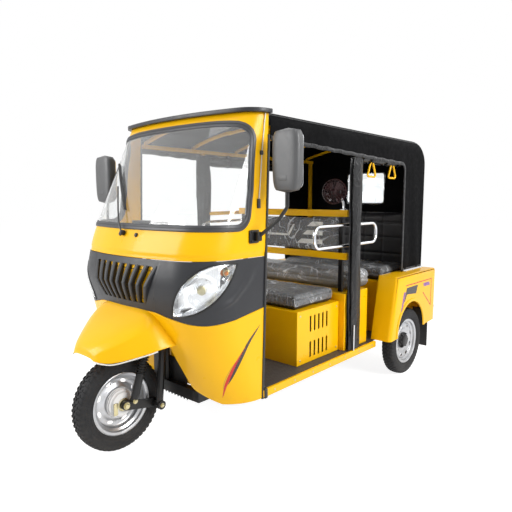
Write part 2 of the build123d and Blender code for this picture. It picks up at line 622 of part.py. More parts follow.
grille_zone = box((-GRILLE_HALF[1] - WALL, GRILLE_HALF[1] + WALL), (depth[0], FLOOR_FRONT),
                  (GRILLE_Z[0] - WALL, GRILLE_Z[1] + WALL))
nodes["grille_backing"] = (cab_inner - cab_solid(-WALL - BACKING, 2.0)) & grille_zone
lens_core = cab_solid(-GLASS, 1.0)
lens = (lamp_bar & cab_outer) - lens_core
bowl = (lamp_bar & lens_core) - lamp_core
nodes["headlamp_lenses"] = both_sides(lens)
nodes["headlamp_bowls"] = both_sides(bowl)

screen_rear = [door_edge(z) - width for z, width in zip(SCREEN_Z, PILLAR_WIDTH)]
screen_side = [(depth[0], SCREEN_Z[0]), (screen_rear[0], SCREEN_Z[0]), (screen_rear[1], SCREEN_Z[1]),
               (depth[0], SCREEN_Z[1])]
screen_cut = side_prism(screen_side, far, SCREEN_CORNER, screen_side[1:3])
pane_side = [(depth[0], SCREEN_Z[0] + SEAL_WIDTH), (screen_rear[0] - SEAL_WIDTH, SCREEN_Z[0] + SEAL_WIDTH),
             (screen_rear[1] - SEAL_WIDTH, SCREEN_Z[1] - SEAL_WIDTH), (depth[0], SCREEN_Z[1] - SEAL_WIDTH)]
pane_cut = side_prism(pane_side, far, SCREEN_CORNER - SEAL_WIDTH / 2, pane_side[1:3])
upper_zone = box(far, depth, (FASCIA_TOP, CAB_TOP))
nodes["front_cowl"] = (shell & upper_zone) - screen_cut
seal_ring = screen_cut - pane_cut
nodes["windscreen_seal"] = (cab_solid(SEAL_PROUD, 1.0) - cab_inner) & seal_ring
nodes["windscreen_glass"] = (cab_outer - cab_solid(-GLASS, 1.0)) & pane_cut

visor = cab_section(*CAB_SECTIONS[-1], VISOR_OVER, CANOPY_FRONT)
nodes["roof_visor"] = extrude(visor, amount=VISOR_THICK)

# Beak mudguard


def beak_solid(grow, drop):
    """Nose volume from six-sided sections, grown outward and drawn down."""
    faces = []
    for y, top_half, top, mid_half, mid, low_half, low in BEAK_SECTIONS:
        right = [(low_half + grow, low - drop), (mid_half + grow, mid + grow / 2),
                 (top_half + grow / 2, top + grow)]
        face = polygon(*right, *[(-x, z) for x, z in reversed(right)])
        move = -grow if y == BEAK_SECTIONS[-1][0] else 0.0
        faces.append(Plane((0, y + move, 0), x_dir=(1, 0, 0), z_dir=(0, -1, 0)) * face)
    return loft(faces, ruled=True)


nodes["front_mudguard"] = beak_solid(0, 0) - beak_solid(-SHEET, WALL) - cab_outer

# Floor, bulkhead, sills and dashboard
floor_span = (FLOOR_FRONT, REAR_BASE_Y)
floor = box((-CAB_HALF + WALL, CAB_HALF - WALL), floor_span, (FLOOR_TOP - FLOOR_THICK, FLOOR_TOP))
floor_front = floor & box(far, (0, DOOR_EDGE), (0, FLOOR_TOP))
floor_front &= cab_inner
floor_rear = floor & box(far, (DOOR_EDGE, REAR_BASE_Y), (0, FLOOR_TOP))
floor_rear -= box((FENDER_IN, CAB_HALF), (FENDER_FRONT[0] - WALL, REAR_BASE_Y), (0, FLOOR_TOP))
floor_rear -= box((-CAB_HALF, -FENDER_IN), (FENDER_FRONT[0] - WALL, REAR_BASE_Y), (0, FLOOR_TOP))
nodes["floor_pan"] = floor_front + floor_rear
wall_y = (floor_span[0] - MOVE_GAP, floor_span[0])
bulkhead = box(far, wall_y, (FLOOR_TOP - FLOOR_THICK, WHEEL_OPEN_TOP + SHEET))
bulkhead += box(far, (0, wall_y[1]), (WHEEL_OPEN_TOP, WHEEL_OPEN_TOP + SHEET))
bulkhead &= cab_inner
bulkhead -= rod(along_stem(0), along_stem(HEAD_TO), HEAD_R + RUN_FIT)
neck_slot = (-LEG_R - WALL, LEG_R + WALL)
bulkhead -= box(neck_slot, (neck_mid[1], wall_y[0]), (BODY_BOTTOM, WHEEL_OPEN_TOP + SHEET))
nodes["inner_bulkhead"] = bulkhead
sill = box((CAB_HALF - WALL, CAB_HALF + WALL), (door_edge(FLOOR_TOP) + 2, FENDER_FRONT[0] - 4),
           (BODY_BOTTOM, FLOOR_TOP))
nodes["side_sills"] = both_sides(sill)
shelf = box((-DASH_HALF, DASH_HALF), (0, DASH_REAR), DASH_Z) & cab_inner
shelf += box((-DIAL_HALF, DIAL_HALF), (DIAL_Y, DASH_REAR), (DASH_Z[0], DIAL_TOP))
nodes["dashboard"] = shelf

# Driver seat, bench and partition
seat_box = box((-BOX_HALF, BOX_HALF), SEAT_BOX_Y, (FLOOR_TOP, SEAT_BOX_TOP))
seat_box -= box((-BOX_HALF + SKIN, BOX_HALF - SKIN), (SEAT_BOX_Y[0] + SKIN, SEAT_BOX_Y[1] - SKIN),
                (FLOOR_TOP, SEAT_BOX_TOP - SKIN))
seat_mid = sum(SEAT_BOX_Y) / 2
for z in VENT_ROWS:
    for i in range(VENT_COUNT):
        y = seat_mid + (i - (VENT_COUNT - 1) / 2) * VENT_PITCH
        seat_box -= Pos(0, y, z) * Box(3 * BOX_HALF, *VENT_SIZE)
nodes["driver_seat_box"] = seat_box
nodes["battery_pack"] = box((BATTERY_GAP[0] - BOX_HALF, BOX_HALF - BATTERY_GAP[0]),
                            (SEAT_BOX_Y[0] + BATTERY_GAP[1], SEAT_BOX_Y[1] - BATTERY_GAP[1]),
                            (FLOOR_TOP, FLOOR_TOP + BATTERY_TALL))


def pad(x, y, z, radius, way=Axis.Z):
    """Block with round corners along one way and bevelled rims."""
    block = box(x, y, z)
    block = fillet(block.edges().filter_by(way), radius)
    ends = block.faces().sort_by(way)
    return chamfer(ends[-1].edges() + ends[0].edges(), radius / 2)


nodes["driver_cushion"] = pad((-BOX_HALF, BOX_HALF), (SEAT_BOX_Y[0] - 5, SEAT_BOX_Y[1] - 2),
                              (SEAT_BOX_TOP, SEAT_BOX_TOP + CUSHION), CUSHION_ROUND)
mid_box = box((-MID_HALF, MID_HALF), MID_BOX_Y, (FLOOR_TOP, MID_BOX_TOP))
mid_box -= box((-MID_HALF + SKIN, MID_HALF - SKIN), (MID_BOX_Y[0] + SKIN, MID_BOX_Y[1] - SKIN),
               (FLOOR_TOP, MID_BOX_TOP - SKIN))
nodes["mid_bench_box"] = mid_box
mid_pad_y = (PART_Y[1] + WALL + 1, MID_BOX_Y[1] + MID_OVERHANG)
nodes["mid_cushion"] = pad((WALL - MID_HALF, MID_HALF - WALL), mid_pad_y, (MID_BOX_TOP, MID_BOX_TOP + MID_CUSHION),
                           CUSHION_ROUND)

frame_parts = []
for side in (-1, 1):
    x = side * PART_POST_X
    frame_parts.append(box((x - POST / 2, x + POST / 2), PART_Y, (MID_BOX_TOP, PART_RAILS[1] + PART_RAIL_H)))
partition = frame_parts[0] + frame_parts[1]
for z in PART_RAILS:
    partition += box((-PART_HALF, PART_HALF), PART_Y, (z, z + PART_RAIL_H))
nodes["partition_frame"] = partition
pad_x = (-PART_POST_X + POST / 2, PART_POST_X - POST / 2)
nodes["partition_panel"] = pad(pad_x, (PART_Y[0] - SKIN, PART_Y[1] + SKIN),
                               (PART_RAILS[0] + PART_RAIL_H, PART_RAILS[1]), SKIN, Axis.Y)
loop_points = [(LOOP_X, PART_MID, LOOP_Z[0]), (LOOP_X, LOOP_Y[1], LOOP_Z[0]), (LOOP_X, LOOP_Y[1], LOOP_Z[1]),
               (LOOP_X, LOOP_Y[0], LOOP_Z[1]), (LOOP_X, LOOP_Y[0], LOOP_Z[0])]
loop = tube(loop_points, LOOP_R, LOOP_BEND, close=True)
for z in LOOP_Z:
    loop += box((PART_POST_X + POST / 2, LOOP_X), (PART_Y[0] + 2, PART_Y[1] - 2), (z - SHEET, z + SHEET))
nodes["guard_loops"] = both_sides(loop)

rear_x = (-REAR_BASE_HALF, REAR_BASE_HALF)
rear_base = box(rear_x, (REAR_BASE_Y, REAR_BASE_Y + SHEET), (FLOOR_TOP, REAR_BASE_TOP))
rear_base += box(rear_x, (REAR_BASE_Y, FENDER_REAR - 2 * SHEET),
                 (REAR_BASE_TOP - SHEET, REAR_BASE_TOP))
nodes["rear_seat_base"] = rear_base
rear_pad_x = (MOVE_GAP - REAR_BASE_HALF, REAR_BASE_HALF - MOVE_GAP)
nodes["rear_cushion"] = pad(rear_pad_x, (REAR_BASE_Y - SKIN, BACK_Y[0] - 2),
                            (REAR_BASE_TOP, REAR_BASE_TOP + CUSHION + MOVE_GAP), CUSHION_ROUND)
back_x = (2 * WALL - REAR_BASE_HALF, REAR_BASE_HALF - 2 * WALL)
nodes["rear_backrest"] = pad(back_x, BACK_Y, (REAR_BASE_TOP, BACK_TOP), CUSHION_ROUND, Axis.Y)

# Roof posts, rails and bows
post_foot = (FLOOR_TOP, ROOF_RAIL_Z[0])
post_half = (POST_X - POST / 2, POST_X + POST / 2)
posts = [box(post_half, (POST_LEFT_Y - POST / 2, POST_LEFT_Y + POST / 2), post_foot)]
right_y = (POST_RIGHT_Y - POST / 2, POST_RIGHT_Y + POST / 2)
posts.append(box((-post_half[1], -post_half[0]), right_y, post_foot))
rear_post = box(post_half, (POST_REAR_Y - POST / 2, POST_REAR_Y + POST / 2), (FENDER_TOP, ROOF_RAIL_Z[0]))
posts += [rear_post, mirror(rear_post, about=Plane.YZ)]
nodes["roof_posts"] = Compound(posts)
roof_rail = box(post_half, (ROOF_RAIL_FROM, POST_REAR_Y + POST), ROOF_RAIL_Z)
nodes["roof_rails"] = both_sides(roof_rail)
bow_top = ROOF_RAIL_Z[1] + BOW_RISE
bow_edges = [
    ThreePointArc((-post_half[1], ROOF_RAIL_Z[1]), (0, bow_top - BOW_THICK), (post_half[1], ROOF_RAIL_Z[1])),
    Line((post_half[1], ROOF_RAIL_Z[1]), (post_half[1], ROOF_RAIL_Z[1] + BOW_THICK)),
    ThreePointArc((post_half[1], ROOF_RAIL_Z[1] + BOW_THICK), (0, bow_top),
                  (-post_half[1], ROOF_RAIL_Z[1] + BOW_THICK)),
    Line((-post_half[1], ROOF_RAIL_Z[1] + BOW_THICK), (-post_half[1], ROOF_RAIL_Z[1])),
]
bow_face = make_face(bow_edges)
nodes["roof_bows"] = Compound([front_prism(bow_face, (y - BOW_WIDTH / 2, y + BOW_WIDTH / 2)) for y in BOW_Y])
waist_y = (POST_RIGHT_Y + POST / 2, POST_REAR_Y - POST / 2)
nodes["waist_rail"] = rod((-POST_X, waist_y[0], WAIST_Z), (-POST_X, waist_y[1], WAIST_Z), POST / 2)

# Canopy


def canopy_solid(shrink, front, low):
    """Roof and rear canvas volume from its end, side and plan outlines."""
    half = CANOPY_HALF - shrink
    side_top = CANOPY_SIDE_TOP - shrink
    end = make_face([Line((-half, low), (half, low)), Line((half, low), (half, side_top)),
                     ThreePointArc((half, side_top), (0, CANOPY_TOP - shrink), (-half, side_top)),
                     Line((-half, side_top), (-half, low))])
    end = fillet(end.vertices().sort_by(Axis.Y)[-2:], CANOPY_SHOULDER - shrink)
    rear = CANOPY_REAR - shrink
    top = CANOPY_TOP - shrink
    side = [(front, low), (rear, low), (rear, top), (front, top)]
    plan = polygon((-half, front), (half, front), (half, rear), (-half, rear))
    plan = fillet(plan.vertices().sort_by(Axis.Y)[-2:], CANOPY_CORNER - shrink)
    solid = front_prism(end, (front, rear)) & side_prism(side, (-half, half), CANOPY_TAIL - shrink, side[2:3])
    return solid & plan_prism(plan, (low, top))


canopy = canopy_solid(0, CANOPY_FRONT, CANOPY_BOTTOM)
canopy -= canopy_solid(CANVAS, CANOPY_FRONT - WALL, CANOPY_BOTTOM - WALL)
wide = (-CANOPY_HALF - WALL, CANOPY_HALF + WALL)
opening = [(VALANCE[0][0], 0), (VALANCE[1][0], 0), VALANCE[1], VALANCE[0]]
canopy -= side_prism(opening, wide, VALANCE_CORNER, opening[2:3])
pane = polygon((-WINDOW_HALF, WINDOW_Z[0]), (WINDOW_HALF, WINDOW_Z[0]), (WINDOW_HALF, WINDOW_Z[1]),
               (-WINDOW_HALF, WINDOW_Z[1]))
pane = fillet(pane.vertices(), WINDOW_CORNER)
window = front_prism(pane, (CANOPY_REAR - CANVAS, CANOPY_REAR))
nodes["canopy"] = canopy - window
nodes["rear_window"] = window

# Quarter panels, tail, bumper and flaps


def fender_solid(shrink, low_extra):
    """Wheel box volume from its side and plan outlines."""
    rear, top = FENDER_REAR - shrink, FENDER_TOP - shrink
    side = [(FENDER_FRONT[0] + shrink, FENDER_LOW[0] - low_extra), (FENDER_FRONT[1] + shrink, top),
            (rear, top), (rear, FENDER_LOW[1] - low_extra)]
    plan = polygon((FENDER_IN + shrink, 0), (FENDER_OUT - shrink, 0), (FENDER_OUT - shrink, rear),
                   (FENDER_IN + shrink, rear))
    corner = [v for v in plan.vertices() if v.X > FENDER_IN + 2 * WALL and v.Y > 2 * WALL]
    plan = fillet(corner, FENDER_CORNER - shrink)
    return side_prism(side, (FENDER_IN + shrink, FENDER_OUT - shrink)) & plan_prism(plan, (0, FENDER_TOP))


quarter = fender_solid(0, 0) - fender_solid(SHEET, 4 * WALL)
arch_x = (TRACK / 2, FENDER_OUT + WALL)
quarter -= across(arch_x, ARCH_Y, ARCH_Z, ARCH_R)
quarter -= box(arch_x, (ARCH_Y - ARCH_R, ARCH_Y + ARCH_R), (0, ARCH_Z))
nodes["quarter_panel_left"] = quarter
nodes["quarter_panel_right"] = mirror(quarter, about=Plane.YZ)
tail_y = (FENDER_REAR - 2 * SHEET, FENDER_REAR)
nodes["tail_panel"] = box((-FENDER_IN, FENDER_IN), tail_y, (TAIL_BOTTOM, FENDER_TOP))
lamp_y = (FENDER_REAR, FENDER_REAR + TAIL_LAMP_DEPTH)
lamp = box((FENDER_IN + 2 * WALL, FENDER_OUT - FENDER_CORNER), lamp_y, TAIL_LAMP_Z)
nodes["tail_lamps"] = both_sides(lamp)
bumper_y = REAR_END - LOOP_R
bumper_ring = [(0, BUMPER_Z[0]), (BUMPER_HALF, BUMPER_Z[0]), (BUMPER_HALF, BUMPER_Z[1]),
               (-BUMPER_HALF, BUMPER_Z[1]), (-BUMPER_HALF, BUMPER_Z[0])]
bumper_points = [(x, bumper_y, z) for x, z in bumper_ring]
bumper = tube(bumper_points, LOOP_R, BUMPER_BEND, close=True)
for side in (-1, 1):
    stay = sorted((side * (RAIL_X - WALL), side * (RAIL_X + WALL)))
    bumper += box(stay, (RAIL_END, bumper_y), (RAIL_HIGH[0], TAIL_BOTTOM - 2 * WALL))
    bumper += box(stay, (bumper_y - WALL, bumper_y + SKIN), BUMPER_Z)
nodes["rear_bumper"] = bumper
flap = box((FENDER_IN + SHEET, FENDER_OUT - 3 * SHEET), (FLAP_Y, FLAP_Y + SHEET), FLAP_Z)
tooth = 2 * FRONT_FLAP_HALF / FLAP_TEETH
flap_outline = [(-FRONT_FLAP_HALF, FRONT_FLAP_Z[1])]
for i in range(FLAP_TEETH):
    left = i * tooth - FRONT_FLAP_HALF
    flap_outline += [(left, FRONT_FLAP_Z[0]), (left + tooth / 2, FRONT_FLAP_Z[0] + FLAP_TOOTH)]
flap_outline += [(FRONT_FLAP_HALF, FRONT_FLAP_Z[0]), (FRONT_FLAP_HALF, FRONT_FLAP_Z[1])]
flap_front = front_prism(polygon(*flap_outline), (wall_y[0] - SHEET, wall_y[0]))
nodes["mudflaps"] = Compound([flap, mirror(flap, about=Plane.YZ), flap_front])

# Mirrors and grab handles
arms = []
housings = []
for side, foot_y, bend, centre in MIRRORS:
    bend, centre = [(side * (CAB_HALF + x), y, z) for x, y, z in (bend, centre)]
    foot = (side * CAB_HALF, foot_y, MIRROR_FOOT_Z)
    out = (side * (CAB_HALF + MIRROR_ARM_OUT), foot_y, MIRROR_FOOT_Z)
    plug = (centre[0], centre[1], centre[2] - MIRROR_SIZE[2] / 2)
    rise = (plug[0], plug[1], plug[2] - MIRROR_SIZE[1])
    arms.append(tube([foot, out, bend, rise, plug], MIRROR_ARM_R, MIRROR_ARM_BEND))
    shell_block = Pos(*centre) * Box(*MIRROR_SIZE)
    shell_block = fillet(shell_block.edges().filter_by(Axis.Y), MIRROR_CORNER)
    housings.append(chamfer(shell_block.faces().sort_by(Axis.Y)[0].edges(), MIRROR_EDGE))
nodes["mirror_arms"] = Compound(arms)
nodes["mirror_housings"] = Compound(housings)

grab = []
for y in HANDLE_Y:
    for side in (-1, 1):
        x = side * POST_X
        ring = tube([(x, y, HANDLE_Z[0]), (x, y + HANDLE_HALF, HANDLE_Z[0]), (x, y, HANDLE_Z[1]),
                     (x, y - HANDLE_HALF, HANDLE_Z[0])], HANDLE_R, HANDLE_BEND, close=True)
        grab.append(ring + rod((x, y, HANDLE_Z[1] - 2 * HANDLE_BEND), (x, y, ROOF_RAIL_Z[0]), HANDLE_R))
nodes["grab_handles"] = Compound(grab)

os.makedirs("parts", exist_ok=True)
for name, part in nodes.items():
    export_step(Pos(0, SHIFT_Y, 0) * part, f"parts/{name}.step")
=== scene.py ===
import json
import math

import bmesh
import bpy
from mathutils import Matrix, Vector, noise


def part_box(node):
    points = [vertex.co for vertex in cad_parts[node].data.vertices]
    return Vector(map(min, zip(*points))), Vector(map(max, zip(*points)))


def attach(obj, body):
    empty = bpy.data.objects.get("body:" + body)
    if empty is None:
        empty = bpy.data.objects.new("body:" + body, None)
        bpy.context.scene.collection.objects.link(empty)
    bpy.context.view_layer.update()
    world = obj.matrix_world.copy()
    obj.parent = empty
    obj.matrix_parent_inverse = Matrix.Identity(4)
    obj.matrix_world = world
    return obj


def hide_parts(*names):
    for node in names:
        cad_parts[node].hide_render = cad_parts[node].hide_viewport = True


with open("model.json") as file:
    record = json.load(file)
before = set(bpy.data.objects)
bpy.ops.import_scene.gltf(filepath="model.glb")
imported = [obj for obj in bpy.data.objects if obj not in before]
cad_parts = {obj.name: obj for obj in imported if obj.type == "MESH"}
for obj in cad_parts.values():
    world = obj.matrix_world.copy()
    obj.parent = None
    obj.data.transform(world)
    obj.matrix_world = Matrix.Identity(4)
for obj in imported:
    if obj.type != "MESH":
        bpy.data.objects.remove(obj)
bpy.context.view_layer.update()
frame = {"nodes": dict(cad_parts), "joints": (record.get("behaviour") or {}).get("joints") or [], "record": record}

scene = bpy.context.scene
nodes = frame["nodes"]
joint_at = {joint["name"]: Vector(joint["pos_m"]) for joint in frame["joints"]}
AXLE = joint_at["front_wheel_spin"]
X_AXIS, Y_AXIS, Z_AXIS = Vector((1, 0, 0)), Vector((0, 1, 0)), Vector((0, 0, 1))

# Camera at the photograph's angle
CAMERA_AT = (2.2004, -2.5638, 1.3152)
CAMERA_TILT = 83.365
CAMERA_TURN = 41.73
CAMERA_LENS, CAMERA_SENSOR = 34.56, 36

# Studio: sky level, floor glow and its share, then name, place, size, power and target of each lamp
SKY_LEVEL, FLOOR_HALF = 0.25, 30
FLOOR_GLOW, FLOOR_SHARE = 1.96, 0.45
LIGHTS = (
    ("key", (5.0, 0.1, 3.2), 2.4, 250, (0, -0.2, 0.7)),
    ("front", (-2.4, -4.8, 2.8), 3.0, 215, (0, -1.0, 0.9)),
    ("rim", (2.5, 4.5, 3.6), 3.0, 40, (0, 0.5, 1.0)),
    ("top", (0, -0.8, 5.0), 4.0, 80, (0, 0, 0)),
)

# Cab skin: height, y where the corner ends on the side, corner radius, with y rearward from the front axle
CAB_SECTIONS = (
    (0.260, 0.522, 0.240),
    (0.600, 0.3708, 0.240),
    (0.757, 0.3308, 0.240),
    (0.890, 0.3058, 0.240),
    (1.020, 0.3258, 0.240),
    (1.155, 0.3708, 0.240),
    (1.745, 0.570, 0.115),
)
CORNER_TURN = math.radians(76.82)
CAB_HALF = 0.55
CAB_LOW, CAB_TOP = 0.26, 1.745
FASCIA_TOP = 1.02
DOOR_EDGE, DOOR_LEAN = 0.524, 0.0327
WALL = 0.010
SEAM = 0.0025
# Lower edge of the fascia: place round the cab, height
FASCIA_EDGE = ((0.0, 0.757), (0.62, 0.757), (0.86, 0.738), (1.25, 0.713), (1.5, 0.708), (1.95, 0.722),
               (3.0, 0.752))
# Left half of the wheel's mouth in the apron: x, height
MOUTH = ((0.27, 0.628), (0.318, 0.33), (0.47, 0.25), (0.47, 0.0))
MOUTH_CORNER = 0.06
# Ridge behind each headlamp: height, place round the cab, then its rise and its widths ahead and behind
CREASE_LINE = ((0.77, 1.62), (0.82, 2.0), (0.90, 2.45), (0.975, 2.62))
CREASE_RISE, CREASE_WIDTHS = 0.007, (0.035, 0.014)
# Windscreen opening seen from the side: y, height
SCREEN = ((-0.3, 1.16), (0.425, 1.16), (0.492, 1.708), (-0.3, 1.708))
SCREEN_MIDDLE = 1.4
SCREEN_CORNER = 0.09
SEAL_WIDTH, SEAL_RISE = 0.034, 0.007
GLASS = 0.005
# Headlamp outline on a plane turned 45 degrees: inner tip, upper arc, outer tip, lower arc
LAMP_IN, LAMP_OVER, LAMP_OUT, LAMP_UNDER = (0.313, 0.743), (0.406, 0.951), (0.629, 1.000), (0.513, 0.819)
LAMP_ALONG, LAMP_FACING = Vector((1, 1, 0)).normalized(), Vector((1, -1, 0)).normalized()
LAMP_STEPS, LAMP_ROWS = 40, 16
LAMP_DEPTH = 0.050
# Dishes of the main lamp and the indicator in that plane: place, radius, depth
LAMP_DISHES = ((Vector((0.455, 0.868)), 0.078, 0.035), (Vector((0.575, 0.955)), 0.030, 0.012))
# Grille: heights and half widths at its foot and top, half widths of a bar, its section as share and depth
GRILLE_Z = (0.796, 0.987)
GRILLE_HALF = (0.180, 0.264)
GRILLE_BARS, GRILLE_BAR_HALF, GRILLE_LAP = 9, (0.011, 0.0155), 0.004
GRILLE_SECTION = ((-1, 0.024), (1, 0.024), (1, 0.004), (0.55, 0), (-0.55, 0), (-1, 0.004))
GRILLE_KINK = 0.020

# Wheels and dampers, then the canopy with y rearward from the front axle
TYRE_R = 0.25
TREAD_DEPTH = 0.005
TREAD_BLOCKS = 54
BOOT_FOLDS = 8
CANOPY_HALF, CANOPY_FRONT, CANOPY_REAR = 0.5605, 0.578, 2.5435
CANOPY_SIDE_TOP, CANOPY_CROWN = 1.762, 0.034
CANOPY_TAIL, CANOPY_SHOULDER = 0.185, 0.075
CANOPY_LOW = 0.766
# Lower edge of the canopy over the doorways: y and height at its ends, and its rear corner
VALANCE_Y, VALANCE_Z, VALANCE_ROUND = (0.5, 2.13), (1.628, 1.572), 0.05
# Wheel box seen from the side, its outer rounding and sheet, and the arch as y, height and radius
FENDER = ((1.762, 0.310), (2.530, 0.345), (2.530, 0.762), (1.858, 0.762))
FENDER_ROUND = 0.028
SHEET = 0.006
ARCH = (2.095, 0.335, 0.228)
TRACK_HALF = 0.603
LOOP_R = 0.011
FAN_R = 0.080
HANDLE_X, HANDLE_Y = 0.531, (1.680, 1.980)
# Foot, outer end, bend, rise and plug of each mirror arm
MIRROR_ARMS = (
    ((0.550, 0.470, 1.130), (0.580, 0.470, 1.130), (0.680, 0.500, 1.215), (0.700, 0.540, 1.275),
     (0.700, 0.540, 1.345)),
    ((-0.550, 0.400, 1.130), (-0.580, 0.400, 1.130), (-0.675, 0.388, 1.160), (-0.700, 0.400, 1.215),
     (-0.700, 0.400, 1.285)),
)
# Roof bows: y
BOWS = (0.61, 1.02, 1.462, 1.96, 2.405)
SIDES = (("left", 1), ("right", -1))


def at(x, y, z):
    """Place given by x to the left, y rearward from the front axle and z up."""
    return Vector((x, y + AXLE.y, z))


def lerp(a, b, t):
    return a + (b - a) * t


def spread(a, b, count):
    return [lerp(a, b, i / (count - 1)) for i in range(count)]


def turns(count):
    """Evenly spaced angles of a full turn."""
    return [2 * math.pi * i / count for i in range(count)]


def trapeze(foot, foot_rise, head, head_rise):
    """Section of a strip from its half widths and rises."""
    return [(-foot, foot_rise), (foot, foot_rise), (head, head_rise), (-head, head_rise)]


def rectangle(low, high):
    return [low, (high[0], low[1]), high, (low[0], high[1])]


def smooth(table, t):
    """Values at t on cubics through rows of (t, value, ...)."""
    last = len(table) - 1
    t = min(max(t, table[0][0]), table[last][0])
    i = max(k for k in range(last) if table[k][0] <= t)
    span = table[i + 1][0] - table[i][0]
    s = (t - table[i][0]) / span
    values = []
    for k in range(1, len(table[0])):
        slope = []
        for j in (i, i + 1):
            a, b = table[max(j - 1, 0)], table[min(j + 1, last)]
            slope.append((b[k] - a[k]) / (b[0] - a[0]) * span)
        p, q = table[i][k], table[i + 1][k]
        values.append(p + s * slope[0] + s * s * (3 * (q - p) - 2 * slope[0] - slope[1])
                      + s ** 3 * (2 * (p - q) + slope[0] + slope[1]))
    return values


def curve(points, count):
    """Evenly counted points on a smooth line through the given ones."""
    rows = [(i, *p) for i, p in enumerate(points)]
    return [Vector(smooth(rows, t)) for t in spread(0, len(points) - 1, count)]


def rounded(points, radius, corners, steps=8):
    """Outline with an arc at the chosen corners."""
    out = []
    for i, p in enumerate(points):
        p = Vector(p)
        if i not in corners:
            out.append(p)
            continue
        a = (Vector(points[i - 1]) - p).normalized()
        b = (Vector(points[(i + 1) % len(points)]) - p).normalized()
        half = a.angle(b) / 2
        centre = p + (a + b).normalized() * radius / math.sin(half)
        start = p + a * radius / math.tan(half) - centre
        end = p + b * radius / math.tan(half) - centre
        out += [centre + start.lerp(end, t).normalized() * radius for t in spread(0, 1, steps)]
    return out


def arc(first, middle, last, count):
    """Points on the circle through three points of a plane."""
    a, b, c = (Vector(p) for p in (first, middle, last))
    d = 2 * (a.x * (b.y - c.y) + b.x * (c.y - a.y) + c.x * (a.y - b.y))
    centre = Vector(((a.length_squared * (b.y - c.y) + b.length_squared * (c.y - a.y)
                      + c.length_squared * (a.y - b.y)) / d,
                     (a.length_squared * (c.x - b.x) + b.length_squared * (a.x - c.x)
                      + c.length_squared * (b.x - a.x)) / d))
    angles = [math.atan2(p.y - centre.y, p.x - centre.x) for p in (a, b, c)]
    for i in (1, 2):
        turn = angles[i] - angles[i - 1]
        angles[i] = angles[i - 1] + (turn + math.pi) % (2 * math.pi) - math.pi
    r = (a - centre).length
    return [centre + Vector((math.cos(t), math.sin(t))) * r for t in spread(angles[0], angles[2], count)]


